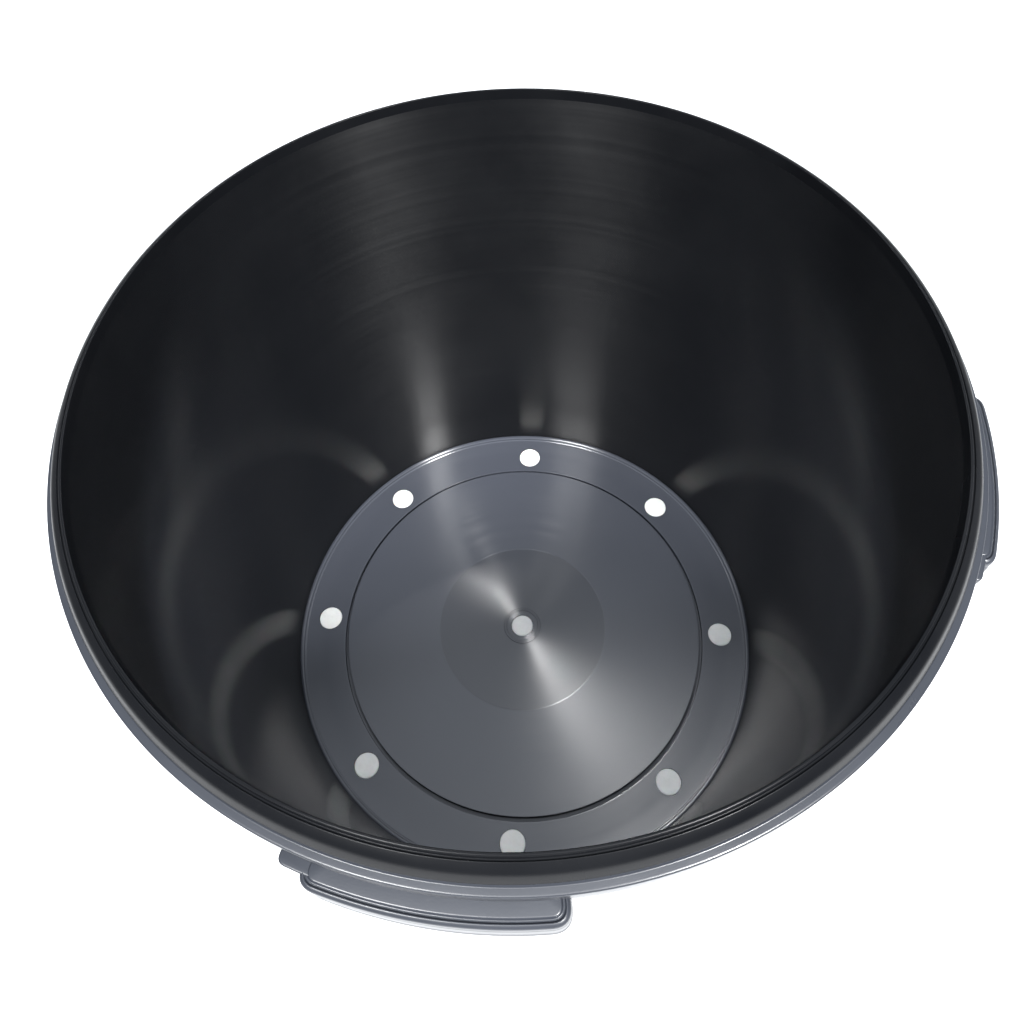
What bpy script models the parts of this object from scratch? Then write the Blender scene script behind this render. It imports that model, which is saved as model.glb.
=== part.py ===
"""Vibratory rock tumbler: an open tub on a sprung carrier, shaken by an unbalanced motor in a round base.

Metres, +Z up. The origin is on the tumbler's axis, on the surface that its feet stand on.
The front, with the switch, faces -Y.
"""

from math import atan2, cos, degrees, pi, radians, sin

import bmesh
import bpy
from mathutils import Matrix, Vector

# Driving dimensions
GAP = 0.0003
OVERRUN = 0.01
SEGMENTS = 48
SMALL_SEGMENTS = 16
MOTOR_SEGMENTS = 32
HOLE_SEGMENTS = 12

TUB_DEPTH = 0.2269
TUB_RIM_RADIUS = 0.1250
TUB_FLOOR_RADIUS = 0.1137
TUB_WALL = 0.0026
TUB_FLOOR = 0.0050
FLOOR_FILLET = 0.0020
FOOT_FILLET = 0.0040
PLATEAU_RADIUS = 0.0897
PLATEAU_HEIGHT = 0.0018
PLATEAU_DISH = 0.0012
SHOULDER_OUT = 0.0056
SHOULDER_DROP = 0.0060
LEDGE_DROP = 0.0080
LEDGE_RADIUS = 0.1328
SKIRT_DROP = 0.0170
SKIRT_THICKNESS = 0.0028

GRIP_RADIUS = 0.1382
GRIP_TOP_DROP = 0.0140
GRIP_BOTTOM_DROP = 0.0290
GRIP_CORNER = 0.0050
GRIP_SHELL = 0.0024
GRIP_ARCS = ((-108.8, -81.0), (-22.4, 0.9))

RING_BOLTS = 8
RING_BOLT_CIRCLE = 0.1000
RING_HEAD_RADIUS = 0.0058
CENTRE_HEAD_RADIUS = 0.0054
HEAD_DEPTH = 0.0026
BOLT_SHANK = 0.0030
BOLT_TIP = 0.0048
NUT_RADIUS = 0.0056
NUT_HEIGHT = 0.0040

BASE_RADIUS = 0.1080
BASE_WALL = 0.0030
BASE_FLANGE_RADIUS = 0.0920
DECK_HOLE_RADIUS = 0.0620
FOOT_HEIGHT = 0.0120
FOOT_RADIUS = 0.0110
FOOT_CIRCLE = 0.0940
FEET = 4
PLATE_THICKNESS = 0.0030
DECK_THICKNESS = 0.0030
BASE_TOP = 0.0980
LUG_TOP = 0.0300
LUG_WIDTH = 0.0150
DECK_SCREW_CIRCLE = 0.1000
SMALL_SCREW_SHANK = 0.0018

SPRINGS = 4
SPRING_CIRCLE = 0.0860
SPRING_FIRST_ANGLE = 22.5
SPRING_RADIUS = 0.0090
SPRING_WIRE = 0.0011
SPRING_TURNS = 4.5
SPRING_STEPS = 8
SPIGOT_RADIUS = 0.0064
SPIGOT_HEIGHT = 0.0050

CARRIER_BOTTOM = 0.1300
CARRIER_THICKNESS = 0.0040
CARRIER_RADIUS = 0.1080
PAD_THICKNESS = 0.0030

MOTOR_RADIUS = 0.0380
MOTOR_WALL = 0.0030
MOTOR_BOTTOM = 0.0500
MOTOR_TOP = 0.1000
END_CAP = 0.0040
FLANGE_RADIUS = 0.0560
STANDOFF_CIRCLE = 0.0480
STANDOFF_RADIUS = 0.0050
CORE_BOTTOM = 0.0580
CORE_TOP = 0.0920
STATOR_BORE = 0.0230
SHAFT_RADIUS = 0.0050
SHAFT_BOTTOM = 0.0240
SHAFT_TOP = 0.1215
BEARING_RADIUS = 0.0110
BEARING_LENGTH = 0.0060
WEIGHT_RADIUS = 0.0340
HUB_RADIUS = 0.0110
LOWER_WEIGHT = (0.0270, 0.0410)
UPPER_WEIGHT = (0.1070, 0.1190)
LOWER_WEIGHT_ANGLE = 90.0
CLAMP_SHANK = 0.0020
CLAMP_HEAD = 0.0035

PAD_FACE = 0.1100
PAD_BACK = 0.1000
SWITCH_HEIGHT = 0.0600
SWITCH_WIDTH = 0.0300
SWITCH_TALL = 0.0220
SWITCH_NECK_WIDTH = 0.0240
SWITCH_NECK_TALL = 0.0176
SWITCH_HOLE_WIDTH = 0.0210
SWITCH_HOLE_TALL = 0.0146
ROCKER_RADIUS = 0.0069
ROCKER_REST_TILT = -6.0
GLAND_HEIGHT = 0.0400
GLAND_RADIUS = 0.0090
GLAND_NECK = 0.0060
GLAND_BORE = 0.0042

VENTS_PER_SIDE = 7
VENT_STEP = 7.0
VENT_LOW = 0.0380
VENT_HIGH = 0.0780
VENT_WIDTH = 0.0045

# Heights worked out from the above
CARRIER_TOP = CARRIER_BOTTOM + CARRIER_THICKNESS
PAD_BOTTOM = CARRIER_TOP + GAP
TUB_BOTTOM = PAD_BOTTOM + PAD_THICKNESS + GAP
TUB_FLOOR_Z = TUB_BOTTOM + TUB_FLOOR
DECK_BOTTOM = BASE_TOP + GAP
DECK_TOP = DECK_BOTTOM + DECK_THICKNESS
BASE_PLATE_BOTTOM = FOOT_HEIGHT + GAP
BASE_PLATE_TOP = BASE_PLATE_BOTTOM + PLATE_THICKNESS


def clear_scene():
    for obj in list(bpy.data.objects):
        bpy.data.objects.remove(obj, do_unlink=True)


def make_material(name, colour, roughness, metallic=0.0):
    material = bpy.data.materials.new(name)
    material.use_nodes = True
    shader = material.node_tree.nodes["Principled BSDF"]
    shader.inputs["Base Color"].default_value = (*colour, 1.0)
    shader.inputs["Roughness"].default_value = roughness
    shader.inputs["Metallic"].default_value = metallic
    material.diffuse_color = (*colour, 1.0)
    return material


def polar(radius, angle, z=0.0):
    """The point at this radius and this angle in degrees."""
    return Vector((radius * cos(radians(angle)), radius * sin(radians(angle)), z))


def arc_points(centre, radius, first, last, steps):
    """Points on an arc from one angle to another, in degrees."""
    cx, cy = centre
    angles = [radians(first + (last - first) * i / steps) for i in range(steps + 1)]
    return [(cx + radius * cos(a), cy + radius * sin(a)) for a in angles]


def ring_angles(count, first=0.0):
    return [first + 360.0 * i / count for i in range(count)]


def add_turned(bm, profile, segments, matrix=Matrix.Identity(4)):
    """Spins a closed outline of (radius, z) points round Z into a closed body."""
    turned = bmesh.new()
    verts = [turned.verts.new((r, 0.0, z)) for r, z in profile]
    edges = [turned.edges.new((a, b)) for a, b in zip(verts, verts[1:])]
    if profile[0][0] > 0.0:
        edges.append(turned.edges.new((verts[-1], verts[0])))
    bmesh.ops.spin(
        turned,
        geom=verts + edges,
        axis=(0, 0, 1),
        cent=(0, 0, 0),
        angle=2 * pi,
        steps=segments,
        use_merge=True,
    )
    bmesh.ops.remove_doubles(turned, verts=turned.verts[:], dist=1e-6)
    bmesh.ops.recalc_face_normals(turned, faces=turned.faces[:])
    bmesh.ops.transform(turned, matrix=matrix, verts=turned.verts[:])
    merge_into(bm, turned)


def add_prism(bm, outline, low, high, matrix=Matrix.Identity(4)):
    """Extrudes an outline of (x, y) points from one height to another."""
    prism = bmesh.new()
    face = prism.faces.new([prism.verts.new((x, y, low)) for x, y in outline])
    grown = bmesh.ops.extrude_face_region(prism, geom=[face])
    moved = [v for v in grown["geom"] if isinstance(v, bmesh.types.BMVert)]
    bmesh.ops.translate(prism, vec=(0, 0, high - low), verts=moved)
    bmesh.ops.recalc_face_normals(prism, faces=prism.faces[:])
    bmesh.ops.transform(prism, matrix=matrix, verts=prism.verts[:])
    merge_into(bm, prism)


def merge_into(bm, other):
    mesh = bpy.data.meshes.new("scratch")
    other.to_mesh(mesh)
    other.free()
    bm.from_mesh(mesh)
    bpy.data.meshes.remove(mesh)


def disc(radius, low, high, bore=0.0, chamfer=0.0):
    """The outline of a turned disc, bored through when bore isn't zero."""
    c = chamfer
    outer = [(radius - c, high), (radius, high - c), (radius, low + c), (radius - c, low)]
    outer = outer if c else [(radius, high), (radius, low)]
    return [(bore, high), *outer, (bore, low)]


def box_outline(x0, x1, y0, y1):
    return [(x0, y0), (x1, y0), (x1, y1), (x0, y1)]


def rounded_box(width, height, corner):
    """The outline of a rectangle about the origin with round corners."""
    points = []
    for sx, sy, first in ((1, 1, 0), (-1, 1, 90), (-1, -1, 180), (1, -1, 270)):
        centre = (sx * (width / 2 - corner), sy * (height / 2 - corner))
        points += arc_points(centre, corner, first, first + 90, 3)
    return points


def hexagon(radius):
    return arc_points((0, 0), radius, 0, 300, 5)


def sector(inner, outer, first, last, corner):
    """The outline of a ring sector whose two outer corners are round."""
    turn = degrees(atan2(corner, outer - corner))
    points = [tuple(polar(inner, last)[:2])]
    points.append(tuple(polar(outer - corner, last)[:2]))
    centre = tuple(polar(outer - corner, last - turn)[:2])
    points += arc_points(centre, corner, last + 90 - turn, last - turn, 4)[1:]
    steps = 10
    for i in range(1, steps):
        angle = last - turn + (first - last + 2 * turn) * i / steps
        points.append(tuple(polar(outer, angle)[:2]))
    centre = tuple(polar(outer - corner, first + turn)[:2])
    points += arc_points(centre, corner, first + turn, first - 90 + turn, 4)[:-1]
    points.append(tuple(polar(outer - corner, first)[:2]))
    for i in range(steps):
        angle = first + (last - first) * i / steps
        points.append(tuple(polar(inner, angle)[:2]))
    return points


def new_object(name, bm, material, parent=None, origin=(0.0, 0.0, 0.0)):
    """Makes an object of a mesh given in world coordinates, with its origin at a chosen point."""
    bmesh.ops.translate(bm, vec=-Vector(origin), verts=bm.verts[:])
    mesh = bpy.data.meshes.new(name)
    bm.to_mesh(mesh)
    bm.free()
    mesh.shade_smooth()
    mesh.set_sharp_from_angle(angle=radians(35))
    mesh.materials.append(material)
    obj = bpy.data.objects.new(name, mesh)
    bpy.context.scene.collection.objects.link(obj)
    obj.location = origin
    if parent:
        attach(obj, parent)
    return obj


def attach(obj, parent):
    """Parents an object to an unrotated empty and leaves it where it is."""
    obj.parent = parent
    obj.matrix_parent_inverse = Matrix.Translation(-Vector(parent.location))


def add_empty(name, location):
    empty = bpy.data.objects.new(name, None)
    empty.location = location
    empty.empty_display_size = 0.02
    bpy.context.scene.collection.objects.link(empty)
    return empty


def add_shank_hole(bm, shank, place, low, high):
    """Adds a cutter for a screw's shank, with clearance round it, between two heights."""
    move = Matrix.Translation(place)
    add_turned(bm, disc(shank + GAP, low, high), HOLE_SEGMENTS, move)


def combine(obj, bm, operation, name):
    """Adds an exact Boolean of the object with a hidden helper made of bm."""
    mesh = bpy.data.meshes.new(name)
    bm.to_mesh(mesh)
    bm.free()
    helper = bpy.data.objects.new(name, mesh)
    helper.hide_render = True
    helper.display_type = "WIRE"
    bpy.context.scene.collection.objects.link(helper)
    if obj.parent:
        attach(helper, obj.parent)
    modifier = obj.modifiers.new(name, "BOOLEAN")
    modifier.operation = operation
    modifier.solver = "EXACT"
    modifier.object = helper


def tub_wall_radius(height):
    """The tub's inner radius at this height over its floor."""
    rise = (height - FLOOR_FILLET) / (TUB_DEPTH - FLOOR_FILLET)
    return TUB_FLOOR_RADIUS + (TUB_RIM_RADIUS - TUB_FLOOR_RADIUS) * rise


def tub_profile():
    """The tub's section: up the inside, over the lip, shoulder and ledge, and down the outside."""
    low = PLATEAU_HEIGHT - PLATEAU_DISH
    dish = [(0.0, low), (PLATEAU_RADIUS / 2, low + PLATEAU_DISH / 4)]
    step = [(PLATEAU_RADIUS - 0.0004, PLATEAU_HEIGHT), (PLATEAU_RADIUS, 0.0)]
    fillet_centre = (TUB_FLOOR_RADIUS - FLOOR_FILLET, FLOOR_FILLET)
    fillet = arc_points(fillet_centre, FLOOR_FILLET, -90, 0, 3)
    rim = TUB_RIM_RADIUS
    lip = [(rim, TUB_DEPTH - 0.0006), (rim + 0.0004, TUB_DEPTH), (rim + 0.0010, TUB_DEPTH)]
    shoulder = [(rim + 0.0015, TUB_DEPTH - 0.0011), (rim + 0.0032, TUB_DEPTH - 0.0021)]
    shoulder.append((rim + 0.0048, TUB_DEPTH - 0.0038))
    shoulder.append((rim + SHOULDER_OUT, TUB_DEPTH - SHOULDER_DROP))
    ledge_z = TUB_DEPTH - LEDGE_DROP
    skirt_z = TUB_DEPTH - SKIRT_DROP
    ledge = [(rim + SHOULDER_OUT, ledge_z + 0.0006), (LEDGE_RADIUS - 0.0005, ledge_z)]
    skirt = [(LEDGE_RADIUS, ledge_z - 0.0005), (LEDGE_RADIUS + 0.0004, skirt_z)]
    skirt.append((LEDGE_RADIUS + 0.0004 - SKIRT_THICKNESS, skirt_z))
    skirt.append((LEDGE_RADIUS - SKIRT_THICKNESS, ledge_z - 0.0024))
    skirt.append((tub_wall_radius(ledge_z) + TUB_WALL, ledge_z - 0.0024))
    outside = [(TUB_FLOOR_RADIUS + TUB_WALL, FLOOR_FILLET)]
    bottom_corner = (TUB_FLOOR_RADIUS + TUB_WALL - FOOT_FILLET, FOOT_FILLET - TUB_FLOOR)
    bottom = arc_points(bottom_corner, FOOT_FILLET, 0, -90, 2)
    return dish + step + fillet + lip + shoulder + ledge + skirt + outside + bottom + [(0.0, -TUB_FLOOR)]


def bolt_places():
    """Name, angle, circle radius and head radius of each bolt in the tub's floor."""
    places = [("centre_bolt", 0.0, 0.0, CENTRE_HEAD_RADIUS)]
    for number, angle in enumerate(ring_angles(RING_BOLTS), 1):
        places.append((f"ring_bolt_{number}", angle, RING_BOLT_CIRCLE, RING_HEAD_RADIUS))
    return places


def make_tub(material, parent):
    lift = Matrix.Translation((0, 0, TUB_FLOOR_Z))
    bm = bmesh.new()
    add_turned(bm, tub_profile(), SEGMENTS, lift)
    tub = new_object("tub", bm, material, parent, (0, 0, TUB_FLOOR_Z))
    grips = bmesh.new()
    pockets = bmesh.new()
    top, bottom = TUB_DEPTH - GRIP_TOP_DROP, TUB_DEPTH - GRIP_BOTTOM_DROP
    root = TUB_RIM_RADIUS + 0.0003
    inset = degrees(GRIP_SHELL / GRIP_RADIUS)
    for first, last in GRIP_ARCS:
        add_prism(grips, sector(root, GRIP_RADIUS, first, last, GRIP_CORNER), bottom, top, lift)
        pocket = sector(
            TUB_RIM_RADIUS + TUB_WALL + 0.0006,
            GRIP_RADIUS - GRIP_SHELL,
            first + inset,
            last - inset,
            GRIP_CORNER - GRIP_SHELL,
        )
        add_prism(pockets, pocket, bottom - OVERRUN, TUB_DEPTH - SKIRT_DROP - GAP, lift)
    combine(tub, grips, "UNION", "tub_grips")
    combine(tub, pockets, "DIFFERENCE", "tub_grip_pockets")
    holes = bmesh.new()
    for _, angle, circle, head in bolt_places():
        move = Matrix.Translation(polar(circle, angle, TUB_FLOOR_Z))
        add_turned(holes, stepped_hole(head + GAP), SMALL_SEGMENTS, move)
    combine(tub, holes, "DIFFERENCE", "tub_holes")


def stepped_hole(head_radius):
    """The cutter of a counterbored bolt hole through the tub's floor."""
    shank = BOLT_SHANK + GAP
    seat = -HEAD_DEPTH - GAP
    return [
        (0.0, OVERRUN),
        (head_radius, OVERRUN),
        (head_radius, seat),
        (shank, seat),
        (shank, -TUB_FLOOR - OVERRUN),
        (0.0, -TUB_FLOOR - OVERRUN),
    ]


def make_floor_bolts(material, parent):
    for name, angle, circle, head in bolt_places():
        top = TUB_FLOOR_Z - 0.0001
        if circle == 0.0:
            top += PLATEAU_HEIGHT - PLATEAU_DISH
        seat = TUB_FLOOR_Z - HEAD_DEPTH
        tip = CARRIER_BOTTOM - BOLT_TIP
        profile = [
            (0.0, top),
            (head - 0.0006, top),
            (head, top - 0.0005),
            (head, seat),
            (BOLT_SHANK, seat),
            (BOLT_SHANK, tip),
            (0.0, tip),
        ]
        bm = bmesh.new()
        add_turned(bm, profile, SMALL_SEGMENTS, Matrix.Translation(polar(circle, angle)))
        new_object(name, bm, material, parent, polar(circle, angle, TUB_FLOOR_Z))


def make_floor_nuts(material, parent):
    """One nut on each bolt, under the carrier plate."""
    high = CARRIER_BOTTOM - GAP
    low = high - NUT_HEIGHT
    for name, angle, circle, _ in bolt_places():
        place = polar(circle, angle)
        bm = bmesh.new()
        add_prism(bm, hexagon(NUT_RADIUS), low, high, Matrix.Translation(place))
        nut = new_object(name.replace("bolt", "nut"), bm, material, parent, polar(circle, angle, low))
        hole = bmesh.new()
        add_shank_hole(hole, BOLT_SHANK, place, low - OVERRUN, high + OVERRUN)
        combine(nut, hole, "DIFFERENCE", f"{nut.name}_hole")


def floor_bolt_holes(low, high):
    """Cutters for the bolts' shanks through a flat piece."""
    holes = bmesh.new()
    for _, angle, circle, _ in bolt_places():
        add_shank_hole(holes, BOLT_SHANK, polar(circle, angle), low - OVERRUN, high + OVERRUN)
    return holes


def make_seal_pad(material, parent):
    bm = bmesh.new()
    add_turned(bm, disc(CARRIER_RADIUS, PAD_BOTTOM, PAD_BOTTOM + PAD_THICKNESS), SEGMENTS)
    pad = new_object("seal_pad", bm, material, parent, (0, 0, PAD_BOTTOM))
    combine(pad, floor_bolt_holes(PAD_BOTTOM, PAD_BOTTOM + PAD_THICKNESS), "DIFFERENCE", "seal_pad_holes")


def spring_angles():
    return ring_angles(SPRINGS, SPRING_FIRST_ANGLE)


def spigots(low, high):
    """The round pegs that hold the springs' ends."""
    bm = bmesh.new()
    for angle in spring_angles():
        move = Matrix.Translation(polar(SPRING_CIRCLE, angle))
        add_turned(bm, disc(SPIGOT_RADIUS, low, high), HOLE_SEGMENTS, move)
    return bm


def make_carrier_plate(material, parent):
    bm = bmesh.new()
    add_turned(bm, disc(CARRIER_RADIUS, CARRIER_BOTTOM, CARRIER_TOP, chamfer=0.0006), SEGMENTS)
    plate = new_object("carrier_plate", bm, material, parent, (0, 0, CARRIER_BOTTOM))
    pegs = spigots(CARRIER_BOTTOM - SPIGOT_HEIGHT, CARRIER_BOTTOM + 0.002)
    combine(plate, pegs, "UNION", "carrier_plate_spigots")
    combine(plate, floor_bolt_holes(CARRIER_BOTTOM, CARRIER_TOP), "DIFFERENCE", "carrier_plate_holes")


def make_springs(material):
    """Each spring is one closed coil between the deck and the carrier plate."""
    low = DECK_TOP + GAP + SPRING_WIRE
    high = CARRIER_BOTTOM - GAP - SPRING_WIRE
    steps = int(SPRING_TURNS * SPRING_STEPS)
    for number, angle in enumerate(spring_angles(), 1):
        curve = bpy.data.curves.new(f"spring_{number}", "CURVE")
        curve.dimensions = "3D"
        curve.bevel_depth = SPRING_WIRE
        curve.bevel_resolution = 1
        curve.use_fill_caps = True
        spline = curve.splines.new("POLY")
        spline.points.add(steps)
        for i, point in enumerate(spline.points):
            turn = i / steps
            coil = polar(SPRING_RADIUS, 360 * SPRING_TURNS * turn, (high - low) * turn)
            point.co = (*coil, 1.0)
        curve.materials.append(material)
        obj = bpy.data.objects.new(f"spring_{number}", curve)
        obj.location = polar(SPRING_CIRCLE, angle, low)
        bpy.context.scene.collection.objects.link(obj)


def make_motor(materials, parent):
    housing = bmesh.new()
    profile = disc(MOTOR_RADIUS, MOTOR_BOTTOM, MOTOR_TOP, MOTOR_RADIUS - MOTOR_WALL)
    add_turned(housing, profile, MOTOR_SEGMENTS)
    new_object("motor_housing", housing, materials["motor"], parent, (0, 0, MOTOR_BOTTOM))

    flange = bmesh.new()
    flange_low = MOTOR_TOP + GAP
    flange_high = flange_low + END_CAP
    bore = BEARING_RADIUS + GAP
    add_turned(flange, disc(FLANGE_RADIUS, flange_low, flange_high, bore), MOTOR_SEGMENTS)
    new_object("motor_flange", flange, materials["motor"], parent, (0, 0, flange_low))

    cap = bmesh.new()
    cap_high = MOTOR_BOTTOM - GAP
    cap_low = cap_high - END_CAP
    add_turned(cap, disc(MOTOR_RADIUS, cap_low, cap_high, bore), MOTOR_SEGMENTS)
    new_object("motor_end_cap", cap, materials["motor"], parent, (0, 0, cap_low))

    stator = bmesh.new()
    stator_radius = MOTOR_RADIUS - MOTOR_WALL - GAP
    add_turned(stator, disc(stator_radius, CORE_BOTTOM, CORE_TOP, STATOR_BORE), MOTOR_SEGMENTS)
    new_object("stator_core", stator, materials["core"], parent, (0, 0, CORE_BOTTOM))

    for name, low in (("upper_bearing", flange_high - BEARING_LENGTH), ("lower_bearing", cap_low)):
        bearing = bmesh.new()
        profile = disc(BEARING_RADIUS, low, low + BEARING_LENGTH, SHAFT_RADIUS + GAP)
        add_turned(bearing, profile, MOTOR_SEGMENTS)
        new_object(name, bearing, materials["steel"], parent, (0, 0, low))

    for number, angle in enumerate(ring_angles(4, 45), 1):
        standoff = bmesh.new()
        place = Matrix.Translation(polar(STANDOFF_CIRCLE, angle))
        add_prism(standoff, hexagon(STANDOFF_RADIUS), flange_high + GAP, CARRIER_BOTTOM - GAP, place)
        origin = polar(STANDOFF_CIRCLE, angle, flange_high)
        new_object(f"motor_standoff_{number}", standoff, materials["steel"], parent, origin)


def weight_outline(radius, hub):
    """Half a disc joined to a round hub."""
    points = arc_points((0, 0), radius, -82, 82, 14)
    return points + arc_points((0, 0), hub, 90, 270, 10)


def make_rotor(materials, parent):
    shaft = bmesh.new()
    add_turned(shaft, disc(SHAFT_RADIUS, SHAFT_BOTTOM, SHAFT_TOP, chamfer=0.0008), SMALL_SEGMENTS)
    new_object("rotor_shaft", shaft, materials["steel"], parent, (0, 0, SHAFT_BOTTOM))

    core = bmesh.new()
    add_turned(core, disc(STATOR_BORE - 0.0006, CORE_BOTTOM, CORE_TOP, SHAFT_RADIUS + GAP), MOTOR_SEGMENTS)
    new_object("rotor_core", core, materials["core"], parent, (0, 0, CORE_BOTTOM))

    places = (("upper", UPPER_WEIGHT, 0.0), ("lower", LOWER_WEIGHT, LOWER_WEIGHT_ANGLE))
    for name, (low, high), angle in places:
        turn = Matrix.Rotation(radians(angle), 4, "Z")
        bm = bmesh.new()
        add_prism(bm, weight_outline(WEIGHT_RADIUS, HUB_RADIUS), low, high, turn)
        weight = new_object(f"{name}_weight", bm, materials["weight"], parent, (0, 0, low))
        middle = (low + high) / 2
        out = turn @ Matrix.Translation((0, 0, middle)) @ Matrix.Rotation(radians(-90), 4, "Y")
        cutters = bmesh.new()
        add_turned(cutters, disc(SHAFT_RADIUS + GAP, low - OVERRUN, high + OVERRUN), SMALL_SEGMENTS)
        combine(weight, cutters, "DIFFERENCE", f"{name}_weight_bore")
        cross = bmesh.new()
        add_turned(cross, disc(CLAMP_SHANK + GAP, 0.001, HUB_RADIUS + OVERRUN), HOLE_SEGMENTS, out)
        combine(weight, cross, "DIFFERENCE", f"{name}_weight_clamp_hole")
        make_clamp_screw(f"{name}_clamp_screw", materials["steel"], parent, out)


def make_clamp_screw(name, material, parent, out):
    start = SHAFT_RADIUS + GAP
    under_head = HUB_RADIUS + GAP
    top = under_head + 0.003
    profile = [
        (0.0, top),
        (CLAMP_HEAD, top),
        (CLAMP_HEAD, under_head),
        (CLAMP_SHANK, under_head),
        (CLAMP_SHANK, start),
        (0.0, start),
    ]
    bm = bmesh.new()
    add_turned(bm, profile, HOLE_SEGMENTS, out)
    new_object(name, bm, material, parent, out.translation)


def base_profile():
    """The base shell's section: a tube with an inward flange at its top."""
    inner = BASE_RADIUS - BASE_WALL
    shoulder = arc_points((BASE_RADIUS - 0.004, BASE_TOP - 0.004), 0.004, 90, 0, 3)
    return [
        (BASE_FLANGE_RADIUS, BASE_TOP),
        *shoulder,
        (BASE_RADIUS, FOOT_HEIGHT + 0.001),
        (BASE_RADIUS - 0.001, FOOT_HEIGHT),
        (inner, FOOT_HEIGHT),
        (inner, BASE_TOP - 0.010),
        (BASE_FLANGE_RADIUS + 0.004, BASE_TOP - 0.006),
        (BASE_FLANGE_RADIUS, BASE_TOP - 0.006),
    ]


def foot_angles():
    return ring_angles(FEET, 45)


def deck_screw_angles():
    return ring_angles(4, SPRING_FIRST_ANGLE + 45)


def sideways(y_sign, height):
    """Turns +Z to point out of the front (-1) or the back (+1) of the base, at this height."""
    return Matrix.Translation((0, 0, height)) @ Matrix.Rotation(radians(-90 * y_sign), 4, "X")


def make_base_shell(material):
    bm = bmesh.new()
    add_turned(bm, base_profile(), SEGMENTS)
    shell = new_object("base_shell", bm, material)

    added = bmesh.new()
    for angle in foot_angles():
        turn = Matrix.Rotation(radians(angle), 4, "Z")
        outline = box_outline(FOOT_CIRCLE - 0.008, BASE_RADIUS - 0.0015, -LUG_WIDTH / 2, LUG_WIDTH / 2)
        add_prism(added, outline, BASE_PLATE_TOP + GAP, LUG_TOP, turn)
    add_prism(added, rounded_box(0.040, 0.032, 0.004), PAD_BACK, PAD_FACE, sideways(-1, SWITCH_HEIGHT))
    add_prism(added, rounded_box(0.028, 0.028, 0.004), PAD_BACK, PAD_FACE, sideways(1, GLAND_HEIGHT))
    combine(shell, added, "UNION", "base_shell_lugs")

    cut = bmesh.new()
    neck = rounded_box(SWITCH_NECK_WIDTH + 2 * GAP, SWITCH_NECK_TALL + 2 * GAP, 0.001)
    add_prism(cut, neck, PAD_BACK - OVERRUN, PAD_FACE + OVERRUN, sideways(-1, SWITCH_HEIGHT))
    hole = disc(GLAND_NECK + GAP, PAD_BACK - OVERRUN, PAD_FACE + OVERRUN)
    add_turned(cut, hole, SMALL_SEGMENTS, sideways(1, GLAND_HEIGHT))
    for angle in foot_angles():
        place = polar(FOOT_CIRCLE, angle)
        add_shank_hole(cut, SMALL_SCREW_SHANK, place, BASE_PLATE_BOTTOM, LUG_TOP - 0.002)
    for angle in deck_screw_angles():
        place = polar(DECK_SCREW_CIRCLE, angle)
        add_shank_hole(cut, SMALL_SCREW_SHANK, place, BASE_TOP - 2 * OVERRUN, BASE_TOP + OVERRUN)
    for side in (0, 180):
        for number in range(VENTS_PER_SIDE):
            angle = side + VENT_STEP * (number - (VENTS_PER_SIDE - 1) / 2)
            turn = Matrix.Rotation(radians(angle), 4, "Z")
            reach = (BASE_RADIUS - OVERRUN, BASE_RADIUS + OVERRUN)
            outline = box_outline(*reach, -VENT_WIDTH / 2, VENT_WIDTH / 2)
            add_prism(cut, outline, VENT_LOW, VENT_HIGH, turn)
    combine(shell, cut, "DIFFERENCE", "base_shell_holes")


def make_base_plate(material):
    bm = bmesh.new()
    add_turned(bm, disc(BASE_RADIUS - BASE_WALL - 0.0006, BASE_PLATE_BOTTOM, BASE_PLATE_TOP), SEGMENTS)
    plate = new_object("base_plate", bm, material, None, (0, 0, BASE_PLATE_BOTTOM))
    holes = bmesh.new()
    for angle in foot_angles():
        place = polar(FOOT_CIRCLE, angle)
        add_shank_hole(holes, SMALL_SCREW_SHANK, place, 0.0, BASE_PLATE_TOP + OVERRUN)
    combine(plate, holes, "DIFFERENCE", "base_plate_holes")


def make_deck_ring(material):
    bm = bmesh.new()
    profile = disc(BASE_RADIUS - 0.0005, DECK_BOTTOM, DECK_TOP, DECK_HOLE_RADIUS, 0.0006)
    add_turned(bm, profile, SEGMENTS)
    deck = new_object("deck_ring", bm, material, None, (0, 0, DECK_BOTTOM))
    combine(deck, spigots(DECK_BOTTOM + 0.001, DECK_TOP + SPIGOT_HEIGHT), "UNION", "deck_ring_spigots")
    holes = bmesh.new()
    for angle in deck_screw_angles():
        place = polar(DECK_SCREW_CIRCLE, angle)
        add_shank_hole(holes, SMALL_SCREW_SHANK, place, DECK_BOTTOM - OVERRUN, DECK_TOP + OVERRUN)
    combine(deck, holes, "DIFFERENCE", "deck_ring_holes")


def small_screw(under_head, tip, up):
    """The outline of a pan-head screw whose head points up (+1) or down (-1)."""
    head = under_head + up * 0.0022
    profile = [
        (0.0, head),
        (0.0028, head),
        (0.0038, under_head + up * 0.0010),
        (0.0038, under_head),
        (SMALL_SCREW_SHANK, under_head),
        (SMALL_SCREW_SHANK, tip),
        (0.0, tip),
    ]
    return profile


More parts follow.
